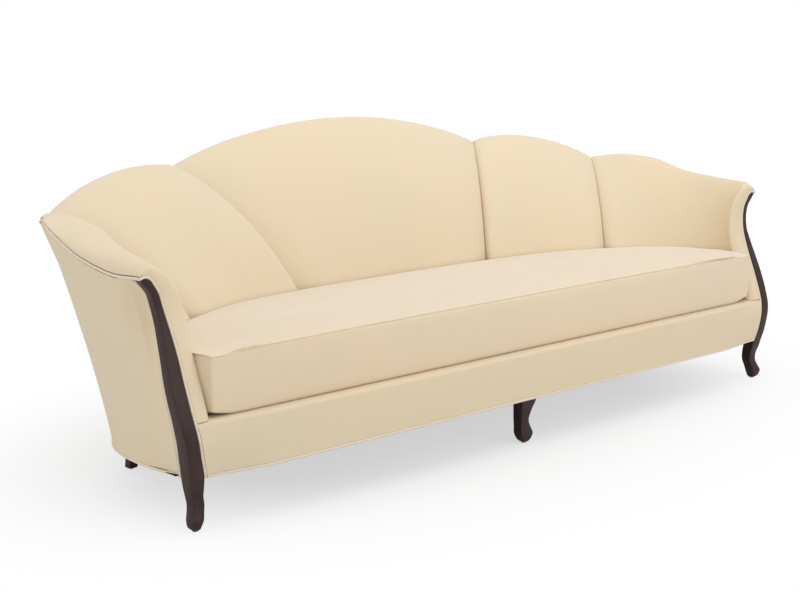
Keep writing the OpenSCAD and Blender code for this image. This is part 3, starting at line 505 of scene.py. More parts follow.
def petal_rings(start, end, count):
    rings = [pad_ring(g) for g in spread(start, end, count)]
    if end == arm_end:
        rings += [pad_ring(end, turned) for turned in front_turns[1:]]
    if start == -arm_end:
        rings = [pad_ring(start, turned) for turned in front_turns[:0:-1]] + rings
    return rings


def spread(start, end, count):
    """Stations from start to end, closer together near both ends."""
    return [mix(start, end, (1 - math.cos(math.pi * k / count)) / 2) for k in range(count + 1)]


def lengths(points):
    """How far along a line of points each one lies."""
    total = [0.0]
    for p, q in zip(points, points[1:]):
        total.append(total[-1] + (Vector(q) - Vector(p)).length)
    return total


# Edges that turn by more degrees than this stay sharp
cloth_sharp, wood_sharp, cord_sharp = 38, 50, 60


def finish_mesh(name, mesh, material, sharp):
    """Turns the faces outwards, smooths all but the sharp edges, and makes the piece."""
    shape = bmesh.new()
    shape.from_mesh(mesh)
    bmesh.ops.remove_doubles(shape, verts=shape.verts, dist=1e-6)
    bmesh.ops.recalc_face_normals(shape, faces=shape.faces)
    for face in shape.faces:
        face.smooth = True
    for edge in shape.edges:
        if len(edge.link_faces) == 2:
            edge.smooth = edge.calc_face_angle(0) < math.radians(sharp)
    shape.to_mesh(mesh)
    shape.free()
    piece = bpy.data.objects.new(name, mesh)
    piece.data.materials.append(material)
    scene.collection.objects.link(piece)
    return piece


def loft(name, rings, material, sharp=cloth_sharp):
    """A solid through rings of points, with a map of the cloth in metres along and round it."""
    count = len(rings[0])
    along = lengths([ring[count // 4] for ring in rings])
    middle = rings[len(rings) // 2]
    around = lengths(middle + [middle[0]])
    faces, corners = [], []
    for k in range(len(rings) - 1):
        for i in range(count):
            j = (i + 1) % count
            faces.append((k * count + i, k * count + j, (k + 1) * count + j, (k + 1) * count + i))
            corners += [(along[k], around[i]), (along[k], around[i + 1])]
            corners += [(along[k + 1], around[i + 1]), (along[k + 1], around[i])]
    for ring in (0, len(rings) - 1):
        start = ring * count
        for i in range(count // 2 - 1):
            quad = (i, count - 1 - i, count - 2 - i, i + 1)
            faces.append([start + q for q in quad])
            corners += [(around[q], rings[ring][q][2]) for q in quad]
    mesh = bpy.data.meshes.new(name)
    mesh.from_pydata([p for ring in rings for p in ring], [], faces)
    cloth_uv = mesh.uv_layers.new(name="cloth")
    for loop, corner in zip(cloth_uv.data, corners):
        loop.uv = corner
    return finish_mesh(name, mesh, material, sharp)


def soft_piece(piece, node, body="frame"):
    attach(piece, body)
    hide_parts(node)


petals = {
    "back_pad_centre": (-inner_seam, inner_seam, 90),
    "back_pad_right": (inner_seam, outer_seam, 64),
    "back_pad_left": (-outer_seam, -inner_seam, 64),
    "arm_pad_right": (outer_seam, arm_end, 72),
    "arm_pad_left": (-arm_end, -outer_seam, 72),
}
for node, (start, end, count) in petals.items():
    petal = loft(node.replace("pad", "petal"), petal_rings(start, end, count), cream_cloth)
    soft_piece(petal, node)

# Outside panels
# Flat-padded panels of the same cloth, tacked under the roll's piping and drawn down to the hem.
# The back is one panel; each arm's panel follows the S of its post.
panel_t, panel_hollow, panel_flare_power, panel_front_run = 0.006, 0.009, 12, 0.030
panel_wave, least_squint = (0.0012, 5.0), 0.5
panel_low = hem_z + piping_d + cord_gap
# From this station on, an arm's panel bends from the hem's line to the post's
bend_from = 8
piping_set, piping_drop = 0.001, piping_d * 0.78
panel_steps = 30


def panel_top(a):
    return roll_z(a) - 2 * piping_drop


def panel_r(a, z):
    v = (z - panel_low) / (panel_top(a) - panel_low)
    top_r = roll_end(a) - piping_set
    plain = mix(hem_r(a), top_r, v) - panel_hollow * 4 * v * (1 - v)
    squint = max(math.cos(math.radians(at(plane_angles, a, True))), least_squint)
    base_x = half_w * at(plan_x_shares, a, True)
    wood = (post_out(z) - base_x) / squint
    wood_top = (post_out(panel_top(a)) - base_x) / squint
    flared = wood + (top_r - wood_top) * max(v, 0) ** panel_flare_power
    return mix(plain, flared, ease((a - bend_from) / (arm_end - bend_from)))


def panel_spot(g, r, z):
    """A point of a panel; towards its front edge it keeps behind the piping of the post."""
    a = abs(g)
    back = post_at(4, z) + piping_d + cloth_gap
    x, y, z = spot(g, r, z, back)
    turn_y = spot(arm_turn, panel_r(arm_turn, z), z)[1]
    shift = max(post_front(z) + back - mid_y + panel_front_run - turn_y, 0)
    return (x, y + shift * (arm_end - a if a > arm_turn else ease(a - arm_turn + 1)), z)


def panel_ring(g):
    a = abs(g)
    outer, inner = [], []
    for k in range(panel_steps + 1):
        z = mix(panel_low, panel_top(a), k / panel_steps)
        swell = unevenness(spot(g, panel_r(a, z), z), *panel_wave)
        outer.append(panel_spot(g, panel_r(a, z) + swell, z))
        inner.append(panel_spot(g, panel_r(a, z) - panel_t, z))
    return outer + inner[::-1]


panels = {
    "outside_back": (-outer_seam, outer_seam, 110),
    "outside_arm_right": (outer_seam, arm_end, 64),
    "outside_arm_left": (-arm_end, -outer_seam, 64),
}
for node, (start, end, count) in panels.items():
    stations = [mix(start, end, k / count) for k in range(count + 1)]
    panel = loft(node + "_cloth", [panel_ring(g) for g in stations], cream_cloth)
    soft_piece(panel, node)

# Piping
# Cord covered in a paler bias-cut strip: round the outer edge of the rolled top, up both sides of
# each post and over its tip, and along the whole hem.
piping_cool, piping_warm = (0.835, 0.700, 0.560), (0.850, 0.705, 0.565)
piping_cloth = cloth("piping_cloth", piping_cool, piping_warm, 1000.0, 0.0003, sheen=0.1)
piping_sides, piping_proud, roll_run_steps = 12, 0.0018, 6


def cord(name, path, up=(0, 0, 1)):
    rings = []
    for i, p in enumerate(path):
        ahead = Vector(path[min(i + 1, len(path) - 1)]) - Vector(path[max(i - 1, 0)])
        ahead.normalize()
        side = ahead.cross(Vector(up)).normalized()
        above = side.cross(ahead)
        rings.append([
            tuple(Vector(p) + piping_d / 2 * (math.cos(q) * side + math.sin(q) * above))
            for q in [(k + 0.5) * math.tau / piping_sides for k in range(piping_sides)]
        ])
    return loft(name, rings, piping_cloth, cord_sharp)


def join(name, pieces):
    """Makes one object of several."""
    for piece in pieces[1:]:
        for slot in piece.data.materials:
            if slot.name not in pieces[0].data.materials:
                pieces[0].data.materials.append(slot)
    with bpy.context.temp_override(active_object=pieces[0], selected_editable_objects=pieces):
        bpy.ops.object.join()
    pieces[0].name = name
    return pieces[0]


def trim(piece, *nodes, slot="piping"):
    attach(piece, "frame")
    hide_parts(*nodes)


around_steps = 260
stations = [mix(-arm_end, arm_end, k / around_steps) for k in range(around_steps + 1)]
roll_line = [spot(g, roll_end(abs(g)) - piping_set, roll_z(abs(g)) - piping_drop) for g in stations]
trim(cord("roll_piping_cord", roll_line), "roll_piping")


def mirror_x(points):
    return [(-x, y, z) for x, y, z in points]


def post_piping_lines():
    """The inner line up and over the tip to the roll's piping, and the outer line up to the roll."""
    off = piping_d / 2 + cord_gap
    front = piping_d / 2 - piping_proud - mid_y
    inner = [(x, post_front(z) + front, z) for x, z in post_edge(off)]
    start = Vector(inner[-1])
    last = Vector(spot(arm_end, roll_end(arm_end) - piping_set, roll_z(arm_end) - piping_drop))
    for k in range(1, roll_run_steps + 1):
        t = k / roll_run_steps
        inner.append((mix(start.x, last.x, t), mix(start.y, last.y, ease(t)), mix(start.z, last.z, t * t)))
    top = panel_top(arm_end)
    base_x = half_w * at(plan_x_shares, arm_end, True)
    outer = []
    for k in range(edge_steps + 1):
        z = mix(hem_z, top, k / edge_steps)
        x = base_x + panel_r(arm_end, max(z, panel_low)) - piping_d / 2 + piping_set
        outer.append((x, post_front(z) + post_at(4, z) + off - mid_y, z))
    return inner, outer


for side, flip in (("right", list), ("left", mirror_x)):
    pair = [cord(f"post_piping_{side}", flip(line), up=(0, 1, 0)) for line in post_piping_lines()]
    trim(join(f"post_piping_{side}_cord", pair), f"post_piping_{side}")

# Front posts
# Each front post is one piece of hardwood from the foot's toe to the arm's tip, cut to an S,
# moulded round at its corners, stained a dark espresso and finished in a satin lacquer.
grain, given = new_group(
    "wood_grain",
    [("Dark", (0.03, 0.02, 0.02, 1)), ("Light", (0.06, 0.04, 0.04, 1)),
     ("Across", 60.0), ("Along", 2.5), ("Upright", 1.0)],
    [("Colour", "NodeSocketColor"), ("Pores", "NodeSocketFloat")],
)
place = add(grain, "ShaderNodeTexCoord").outputs["Object"]
axes = add(grain, "ShaderNodeSeparateXYZ", {0: place}).outputs
level = maths(grain, "SUBTRACT", 1.0, given["Upright"])


def grain_scale(standing, lying):
    """How fine the grain is along an axis, on a board that stands and on one that lies."""
    stood = maths(grain, "MULTIPLY", given[standing], given["Upright"])
    return maths(grain, "ADD", stood, maths(grain, "MULTIPLY", given[lying], level))


scale_x, scale_z = grain_scale("Across", "Along"), grain_scale("Along", "Across")
scaled = {
    i: maths(grain, "MULTIPLY", axes[i], scale) for i, scale in enumerate((scale_x, given["Across"], scale_z))
}
stretched = add(grain, "ShaderNodeCombineXYZ", scaled).outputs[0]
streaks = {"Vector": stretched, "Scale": 1.0, "Detail": 4.0, "Distortion": 0.6}
figure = add(grain, "ShaderNodeTexNoise", streaks).outputs[0]
pores = add(grain, "ShaderNodeTexNoise", {"Vector": stretched, "Scale": 6.0, "Detail": 2.0}).outputs[0]
clear = add(grain, "ShaderNodeMapRange", {"Value": figure, "From Min": 0.3, "From Max": 0.7}).outputs[0]
give_out(grain, Colour=mixed_colour(grain, clear, given["Dark"], given["Light"]), Pores=pores)


def timber(name, dark, light, rough, coat, pore_depth, upright=1.0, across=60.0):
    material, tree, shader = new_material(name)
    tones = {"Dark": dark + (1,), "Light": light + (1,)}
    look = use_group(tree, "wood_grain", {**tones, "Across": across, "Upright": upright})
    dull = add(tree, "ShaderNodeMapRange", {"Value": look["Pores"], "To Min": rough[0], "To Max": rough[1]})
    bump = add(tree, "ShaderNodeBump", {"Height": look["Pores"], "Distance": pore_depth, "Strength": 0.5})
    feed(tree, shader, {
        "Base Color": look["Colour"], "Roughness": dull.outputs[0], "Normal": bump.outputs[0],
        "Coat Weight": coat, "Coat Roughness": 0.28,
    })
    return material


dark_wood = timber("espresso_wood", (0.024, 0.009, 0.008), (0.040, 0.017, 0.014), (0.36, 0.50), 0.05, 0.0002)
dark_wood.node_tree.nodes["Principled BSDF"].inputs["Specular IOR Level"].default_value = 0.3
# The foot of a front post: height, size, reach of the toe, and how far it stands outwards and back
foot_shares = [
    [0.028, 0.46, 0.10, -0.02, -0.11], [0.085, 0.64, 0.20, 0.04, -0.10],
    [0.210, 0.79, 0.30, -0.02, -0.10], [0.340, 0.78, 0.10, -0.14, 0.03],
    [0.480, 0.79, 0, -0.25, 0.17], [0.640, 0.82, 0, -0.19, 0.22], [0.820, 0.93, 0, -0.08, 0.09],
]
toe, post_corner_r, corner_steps, row_steps, flare_power = 0.013, 0.0022, 4, 6, 5


def rounded_ring(front, middle, w, d, z, out=0.0, corner=post_corner_r):
    """A rectangle with round corners; out draws its outer front corner into a toe."""
    r = min(corner, w / 3, d / 3)
    points = []
    for cx, cy, turn in (
        (middle + w / 2 - r, front + r, -1), (middle + w / 2 - r, front + d - r, 0),
        (middle - w / 2 + r, front + d - r, 1), (middle - w / 2 + r, front + r, 2),
    ):
        for k in range(corner_steps + 1):
            angle = quarter_turn(turn + k / corner_steps)
            points.append([cx + r * math.cos(angle), cy + r * math.sin(angle)])
    for p in points:
        ahead = Vector((p[0] - middle, p[1] - front - d / 2)).normalized()
        pull = max(ahead.dot(Vector((1, -1)).normalized()), 0) ** 2
        p[0] += out * pull
        p[1] -= out * pull
    return [(x, y - mid_y, z) for x, y in points]


def tip_round(z):
    """How far the tip's inner edge has rounded over at a height."""
    near = max(z - (post_h - tip_r), 0) / tip_r
    return tip_r * (1 - math.sqrt(max(1 - near * near, 0)))


def post_rings():
    base = post_rows[0]
    sections = []
    for height, size, reach_out, outwards, back in foot_shares:
        w, d = base[3] * size, base[4] * size
        front = base[1] + base[4] / 2 + back * post_d - d / 2
        sections.append([front, base[2] + outwards * post_w, w, d, height * hem_z, toe * reach_out])
    sections += [[row[1], row[2], row[3], row[4], row[0], 0.0] for row in post_rows]
    columns = list(zip(*sections))
    rings = []
    for k in range((len(sections) - 1) * row_steps + 1):
        front, middle, w, d, z, out = [at(column, k / row_steps, True) for column in columns]
        tip = tip_round(z)
        flare = tip_flare * max((z - hem_z) / (post_h - hem_z), 0) ** flare_power
        rings.append(rounded_ring(front, middle + (tip + flare) / 2, w - tip + flare, d, z, out))
    return rings


for side, flip in (("right", list), ("left", mirror_x)):
    post = loft(f"front_post_{side}_wood", [flip(ring) for ring in post_rings()], dark_wood, wood_sharp)
    trim(post, f"front_post_{side}", slot="dark_wood")

# Apron
# The padded cover of the front rail: cloth over wadding, turned back over the rail's top edge and
# tacked under the hem's piping.
apron_t, apron_lip, apron_wrap_t, apron_full, apron_turn_share = 0.012, 0.044, 0.010, 0.001, 0.82
apron_wave, apron_wave_run = (0.0012, 6.0), 1.2
apron_steps, apron_face_steps, apron_lip_steps = 120, 14, 8


def front_line(share, z):
    turned = ease((abs(share) - apron_turn_share) / (1 - apron_turn_share))
    return mix(0, post_front(z) - apron_full, turned)


def apron_spot(share, back, z):
    end = post_in(z) - piping_d - cloth_gap
    return (share * end, front_line(share, z) + back - mid_y, z)


def apron_ring(share):
    outer = []
    low_face = deck_top - apron_t
    for k in range(apron_face_steps + 1):
        t = k / apron_face_steps
        z = mix(panel_low, low_face, t)
        swell = unevenness((share * apron_wave_run, 0, z), *apron_wave)
        outer.append(apron_spot(share, -apron_full * 4 * t * (1 - t) + swell * math.sin(math.pi * t), z))
    for k in range(1, apron_lip_steps + 1):
        turn = quarter_turn(k / apron_lip_steps)
        outer.append(apron_spot(share, apron_t * (1 - math.cos(turn)), low_face + apron_t * math.sin(turn)))
    outer.append(apron_spot(share, apron_lip, deck_top))
    wrap_z = deck_top - apron_wrap_t
    rest = len(outer) - 2
    inner = [apron_spot(share, apron_t, mix(wrap_z, panel_low, k / rest)) for k in range(rest + 1)]
    return outer + [apron_spot(share, apron_lip, wrap_z)] + inner


apron_shares = [mix(-1, 1, k / apron_steps) for k in range(apron_steps + 1)]
apron = loft("apron_cloth", [apron_ring(share) for share in apron_shares], cream_cloth)
soft_piece(apron, "apron_pad")

# Hem piping
# The same covered cord, tacked along the bottom edge of the apron and round the outside panels.
hem_mid = hem_z + piping_d / 2
front_hem = [apron_spot(share, piping_set, hem_mid) for share in apron_shares]
hem_back = post_at(4, hem_mid) + piping_d + cloth_gap
round_hem = [spot(g, hem_r(abs(g)) - piping_set, hem_mid, hem_back) for g in stations]
pair = [cord("hem_piping_cord", line) for line in (front_hem, round_hem)]
trim(join("hem_piping_cord", pair), "hem_piping")

# Seat cushion
# One long boxed cushion: a top and a bottom panel sewn to a boxing strip, over a foam core that
# stands a little proud of the seams. It lies loose on the deck and follows the tub's plan.
cushion_low, cushion_crown, cushion_setback, cushion_gap = 0.2929, 0.012, 0.032, 0.004
cushion_corner_r, cushion_end_room = 0.007, 0.008
# The round of the lower edge, the groove of the upper seam, and the boxing's swell between them
box_edge_r, box_swell = 0.013, 0.003
seam_groove, seam_w = 0.0022, 0.0030
crown_inset, crown_step, crown_draw, crown_run_power, crown_power = 0.0008, 0.0015, 0.96, 1.7, 3.5
box_edge_steps, box_steps, crown_steps, cushion_steps = 6, 12, 20, 190
underside_draws = (0.95, 0.75, 0.5, 0.3, 0.15, 0.05)
# The crown is full where the cushion is at least this deep from back to front
crown_full_d = 0.4


def pairs_ring(pairs, z, draw, rise=0.0):
    """A ring of paired back and front points: drawn to the line between them, and raised there."""
    back, front = [], []
    for pair in pairs:
        middle = [(a + b) / 2 for a, b in zip(*pair)]
        deep = min(math.dist(*pair) / crown_full_d, 1)
        for p, line in zip(pair, (back, front)):
            line.append((mix(p[0], middle[0], draw), mix(p[1], middle[1], draw), z + rise * deep))
    return back + front[::-1]


cushion_end = 9.8
cushion_stations = spread(-cushion_end, cushion_end, cushion_steps)
# The bottom corners at the front ride up a little, and the right end is packed a little shorter
corner_lift, corner_run = 0.013, 0.090
right_short, right_from, right_run = 0.009, 0.9, 0.3


def cushion_pairs(inset):
    back = [spot(g, -cushion_gap - inset, seat_h) for g in cushion_stations]
    half = back[-1][0] - cushion_end_room
    pairs = []
    for b, g in zip(back, cushion_stations):
        x = half * math.sin(math.pi / 2 * g / cushion_end)
        bend = max(abs(x) - (half - cushion_corner_r), 0)
        round_y = cushion_corner_r - math.sqrt(max(cushion_corner_r ** 2 - bend ** 2, 0))
        pairs.append((b[:2], (x, cushion_setback + inset + round_y - mid_y)))
    return pairs


def cushion_ring(z, draw=0.0, inset=0.0, rise=0.0):
    ring = []
    for x, y, height in pairs_ring(cushion_pairs(inset), z, draw, rise=rise):
        near_front = max(1 - (y + mid_y - cushion_setback) / corner_run, 0)
        near_end = max(1 - (cushion_half - abs(x)) / corner_run, 0)
        low = max(1 - (height - cushion_low) / corner_run, 0)
        lift = corner_lift * ease(min(near_front, near_end)) * low
        short = right_short * ease(max((x - right_from) / right_run, 0)) * ease(near_front)
        ring.append((x - short, y, height + lift))
    return ring


cushion_half = spot(cushion_end, -cushion_gap, seat_h)[0]


def cushion_rings():
    """From the middle of the underside, out to its edge, up the boxing, and in over the crown."""
    rings = [cushion_ring(cushion_low, draw, box_edge_r) for draw in underside_draws]
    for k in range(box_edge_steps + 1):
        turn = quarter_turn(k / box_edge_steps)
        z = cushion_low + box_edge_r * (1 - math.cos(turn))
        rings.append(cushion_ring(z, inset=box_edge_r * (1 - math.sin(turn))))
    for k in range(1, box_steps + 1):
        t = k / box_steps
        z = mix(cushion_low + box_edge_r, seat_h - seam_w, t)
        rings.append(cushion_ring(z, inset=-box_swell * math.sin(math.pi * t)))
    rings.append(cushion_ring(seat_h - seam_w / 2, inset=seam_groove))
    rings.append(cushion_ring(seat_h, inset=crown_inset))
    for k in range(1, crown_steps + 1):
        draw = crown_draw * (k / crown_steps) ** crown_run_power
        rise = cushion_crown * (1 - (1 - draw) ** crown_power)
        rings.append(cushion_ring(seat_h + crown_step, draw, crown_inset, rise))
    return rings


inwards_most, swell_frames, near_points = 0.001, 20, 6


def plumped(piece, voxel, pressure, most, hold):
    """Blows the piece up as cloth, and moves each of its points as the cloth near it moved.

    The cloth is a copy of the piece, remeshed evenly. No point moves further than most, or further
    inwards than inwards_most, and hold gives the share of the movement that each point keeps.
    """
    copy = bpy.data.objects.new("sewn_copy", piece.data.copy())
    scene.collection.objects.link(copy)
    remesh = copy.modifiers.new("even", "REMESH")
    remesh.mode = "VOXEL"
    remesh.voxel_size = voxel
    evened = bpy.data.meshes.new_from_object(copy.evaluated_get(bpy.context.evaluated_depsgraph_get()))
    copy.modifiers.clear()
    copy.data = evened
    before = [v.co.copy() for v in evened.vertices]
    swell = copy.modifiers.new("swell", "CLOTH")
    swell.settings.use_pressure = True
    swell.settings.uniform_pressure_force = pressure
    swell.settings.effector_weights.gravity = 0
    for step in range(1, swell_frames + 1):
        scene.frame_set(step)
    blown = copy.evaluated_get(bpy.context.evaluated_depsgraph_get()).data
    moves = [v.co - start for v, start in zip(blown.vertices, before)]
    scene.frame_set(1)
    tree = kdtree.KDTree(len(before))
    for index, start in enumerate(before):
        tree.insert(start, index)
    tree.balance()
    for v in piece.data.vertices:
        near = tree.find_n(v.co, near_points)
        total = sum(1 / (distance + voxel / 4) for _, _, distance in near)
        move = Vector()
        for _, index, distance in near:
            move += moves[index] / (distance + voxel / 4) / total
        move *= most / (most + move.length)
        outwards = move.dot(v.normal)
        move -= v.normal * min(outwards + inwards_most, 0)
        v.co += move * hold(v.co)
    bpy.data.objects.remove(copy)


against_petals = [back for back, _ in cushion_pairs(0)]
held_run, held_low, held_rise = 0.07, 0.01, 0.05


def cushion_hold(p):
    """The underside rests on the deck and the back and ends against the petals: all these stay."""
    above = ease((p.z - cushion_low - held_low) / held_rise)
    beside = min(math.hypot(p.x - x, p.y - y) for x, y in against_petals)
    return above * ease(beside / held_run) * ease((cushion_half - held_run / 2 - abs(p.x)) / held_run)


cushion_cool, cushion_warm = (0.800, 0.650, 0.455), (0.830, 0.655, 0.450)
cushion_cloth = cloth("cushion_upholstery", cushion_cool, cushion_warm, 1100.0, 0.00025, sheen=0.8)
cushion = loft("seat_cushion", cushion_rings(), cushion_cloth, wood_sharp)
plumped(cushion, voxel=0.010, pressure=4.0, most=0.009, hold=cushion_hold)
soft_piece(cushion, "cushion_cover", body="cushion")

# Centre front foot and rear legs
# The same dark wood: a small cabriole foot under the middle of the apron, and three plain tapered
# legs under the back, raked outwards. Each hangs on a bolt under a steel plate.
leg_top, leg_w, glide_t, leg_rake = 0.146, 0.046, 0.004, 0.026
leg_foot_share, leg_corner_r, side_rake_shares = 0.62, 0.004, (0.65, 0.75)
leg_setback, leg_steps, foot_steps = 0.0062, 8, 4
front_leg_y = leg_w / 2 + leg_setback
# The middle foot: height, front edge, width and depth
middle_foot_shares = [
    [0.028, 0.28, 0.46, 0.44], [0.085, 0.22, 0.80, 0.62], [0.210, 0.17, 1.09, 0.78],
    [0.340, 0.30, 0.86, 0.78], [0.500, 0.39, 0.72, 0.80], [0.740, 0.22, 1.00, 0.85],
    [0.860, 0.08, 1.20, 0.92], [1, 0, 1.39, 0.96],
]
columns = list(zip(*middle_foot_shares))
rings = []
for k in range((len(middle_foot_shares) - 1) * foot_steps + 1):
    height, front, w, d = [at(column, k / foot_steps, True) for column in columns]
    foot_y = front_leg_y + (front - 0.5) * leg_w
    rings.append(rounded_ring(foot_y, 0, w * leg_w, d * leg_w, height * leg_top))
trim(loft("centre_front_foot", rings, dark_wood, wood_sharp), "centre_front_leg", slot="dark_wood")


def leg_spot(g):
    return spot(g, hem_r(abs(g)) - piping_d - leg_w * math.sqrt(0.5) - wood_gap, 0)


def rear_leg(name, top, rake, node):
    rings = []
    for k in range(leg_steps + 1):
        t = k / leg_steps
        w = leg_w * mix(leg_foot_share, 1, t)
        x, y = top[0] + rake[0] * (1 - t), top[1] + mid_y + rake[1] * (1 - t)
        rings.append(rounded_ring(y - w / 2, x, w, w, mix(glide_t, leg_top, t), corner=leg_corner_r))
    trim(loft(name, rings, dark_wood, wood_sharp), node, slot="dark_wood")


side_leg_station = 4.2
side_leg = leg_spot(side_leg_station)
side_rake = [leg_rake * share for share in side_rake_shares]
for side, sign in (("right", 1), ("left", -1)):
    rake = (sign * side_rake[0], side_rake[1])
    rear_leg(f"rear_leg_{side}_wood", (sign * side_leg[0], side_leg[1]), rake, f"rear_leg_{side}")
rear_leg("rear_leg_centre_wood", leg_spot(0), (0, leg_rake), "centre_rear_leg")

# Deck
# The flat pad under the cushion: felt over the springs, in a plain ticking.
ticking = cloth("deck_ticking", (0.62, 0.52, 0.38), (0.66, 0.55, 0.40), 800.0, 0.0003)
deck_z, deck_end, deck_steps, deck_end_share = 0.2726, 9.35, 90, 0.98
deck_edge, deck_shoulder, deck_round = 0.004, 0.005, 0.0015
deck_stations = spread(-deck_end, deck_end, deck_steps)


def deck_ring(z, draw, inset):
    pairs = []
    for g in deck_stations:
        b = spot(g, -wood_gap - inset, 0)
        share = deck_end_share * math.sin(math.pi / 2 * g / deck_end)
        pairs.append((b[:2], apron_spot(share, apron_lip + wood_gap + inset, deck_top)[:2]))
    return pairs_ring(pairs, z, draw)


block_draws = (0.9, 0.4, 0.05)
deck_levels = [(deck_z, draw, deck_edge) for draw in block_draws]
deck_levels += [(deck_z + deck_edge, 0, 0), (deck_top - deck_shoulder, 0, 0)]
deck_levels.append((deck_top - deck_round, 0, deck_round))
deck_levels += [(deck_top, draw, deck_edge) for draw in (0.01, 0.05, 0.2, 0.4, 0.6, 0.9)]
deck = loft("deck_ticking_pad", [deck_ring(*level) for level in deck_levels], ticking)
soft_piece(deck, "deck_pad")

# Frame and springs
# Planed hardwood boards, and zigzag springs of dull steel wire with their clips, screws and bolts:
# most of the CAD pieces stay, and each takes its own finish. The grain runs along each board.
planed = ((0.47, 0.31, 0.17), (0.66, 0.48, 0.30), (0.55, 0.75), 0.0, 0.0003)
frame_wood = timber("planed_hardwood", *planed, upright=0.0, across=45.0)
upright_wood = timber("planed_upright", *planed, upright=1.0, across=45.0)

steel, tree, shader = new_material("dull_steel")
place = add(tree, "ShaderNodeTexCoord").outputs["Object"]
scratches = add(tree, "ShaderNodeTexNoise", {"Vector": place, "Scale": 260.0, "Detail": 3.0}).outputs[0]
worn = add(tree, "ShaderNodeMapRange", {"Value": scratches, "To Min": 0.3, "To Max": 0.5})
dark_steel, light_steel = (0.42, 0.42, 0.41, 1), (0.60, 0.60, 0.58, 1)
feed(tree, shader, {
    "Base Color": mixed_colour(tree, scratches, dark_steel, light_steel),
    "Roughness": worn.outputs[0], "Metallic": 1.0,
})

foam, tree, shader = new_material("open_foam")
foam_cool, foam_warm = (0.78, 0.70, 0.48, 1), (0.84, 0.76, 0.54, 1)
tone = use_group(tree, "tone_drift", {"Cool": foam_cool, "Warm": foam_warm, "Scale": 8.0})
bump = add(tree, "ShaderNodeBump", {"Height": tone["Fibre"], "Distance": 0.001, "Strength": 0.7})
feed(tree, shader, {"Base Color": tone["Colour"], "Normal": bump.outputs[0], "Roughness": 0.95})

jute = cloth("jute_webbing", (0.36, 0.24, 0.12), (0.44, 0.30, 0.15), 300.0, 0.0008, sheen=0.0)
black_cool, black_warm = (0.022, 0.022, 0.024), (0.030, 0.029, 0.030)
black_cloth = cloth("black_dust_cloth", black_cool, black_warm, 1500.0, 0.0001, sheen=0.05)
finishes = {
    "frame_wood": frame_wood, "dark_wood": dark_wood, "upholstery": cream_cloth, "piping": piping_cloth,
    "ticking": ticking, "foam": foam, "jute": jute, "black_cloth": black_cloth, "steel": steel,
}
slots = {part["node"]: part["material_slot"] for part in frame["record"]["subparts"]}
for node, piece in frame["nodes"].items():
    piece.data.materials.clear()
    upright = node.startswith(("upright", "arm_stump"))
    piece.data.materials.append(upright_wood if upright else finishes[slots[node]])

# Crest and arm rails
# Boards under the rolled top, between the petals' hidden side and the outside panels, which they
# carry. They follow the crest and stop short of the posts.
rail_h, rail_under, rail_stop, rail_steps = 0.046, 0.006, 8.5, 30
web_w, web_t, back_web_gap, arm_web_gap = 0.050, 0.002, 0.001, 0.008


def web_gap(a):
    return mix(back_web_gap, arm_web_gap, min(max(a - outer_seam, 0), 1))


def lining_r(a, z):
    """How far outwards the petal's hidden side lies at a height."""
    rows = pad_lining(a)
    for (r, low), (next_r, high) in zip(rows, rows[1:]):
        if low <= z <= high:
            return mix(r, next_r, (z - low) / (high - low))


def rail_ring(g):
    a = abs(g)
    top = min(panel_top(a), crest_z(a) - roll_pad_t - rail_under)
    low = top - rail_h
    inner = lining_r(a, top) + web_gap(a) + web_t + 2 * wood_gap
    back = [panel_spot(g, panel_r(a, z) - panel_t - wood_gap, z) for z in (top, low)]
    return [spot(g, inner, low), spot(g, inner, top)] + back


rails = {
    "crest_rail_centre": (-inner_seam, inner_seam), "crest_rail_right": (inner_seam, outer_seam),
    "crest_rail_left": (-outer_seam, -inner_seam), "arm_rail_right": (outer_seam, rail_stop),
    "arm_rail_left": (-rail_stop, -outer_seam),
}
for node, (start, end) in rails.items():
    rings = [rail_ring(mix(start, end, k / rail_steps)) for k in range(rail_steps + 1)]
    trim(loft(node + "_board", rings, frame_wood), node, slot="frame_wood")

# Arm stumps
# Short uprights behind the front posts, with the outside panels lying on them.
stump_run, stump_low, stump_high, stump_t, stump_steps = (8.15, 8.5), 0.268, 0.597, 0.030, 16


def stump_ring(sign, z):
    first, last = stump_run
    corners = [(first, 0), (last, 0), (last, stump_t), (first, stump_t)]
    return [panel_spot(sign * g, panel_r(g, z) - panel_t - wood_gap - deep, z) for g, deep in corners]


for side, sign in (("right", 1), ("left", -1)):
    rings = [stump_ring(sign, z) for z in spread(stump_low, stump_high, stump_steps)]
    trim(loft(f"arm_stump_{side}_board", rings, upright_wood), f"arm_stump_{side}", slot="frame_wood")

# Webbing
# Bands of jute behind the petals, from the tack rails up to the crest.
web_short, web_reach = 0.030, 0.05
back_bands, arm_bands = (0.225, 0.675, 1.15, 1.575, 2.8, 3.2), (4.75, 5.9, 7.1)


def web_ring(g, rows):
    gap = web_gap(abs(g))
    line = pad_lining(g)[:rows]
    return [spot(g, r + gap, z) for r, z in line] + [spot(g, r + gap + web_t, z) for r, z in line[::-1]]


def web_band(g):
    half = web_w / math.dist(spot(g + web_reach, 0, 0), spot(g - web_reach, 0, 0)) * web_reach
    rows = sum(z < crest_z(abs(g)) - web_short for _, z in pad_lining(g)[:face_steps])
    return loft("band", [web_ring(g + shift, rows) for shift in (-half, 0, half)], jute)


back_webs = [web_band(sign * g) for g in back_bands for sign in (1, -1)]
trim(join("back_webbing_bands", back_webs), "back_webbing", slot="jute")
for side, sign in (("right", 1), ("left", -1)):
    arm_webs = [web_band(sign * g) for g in arm_bands]
    trim(join(f"arm_webbing_{side}_bands", arm_webs), f"arm_webbing_{side}", slot="jute")

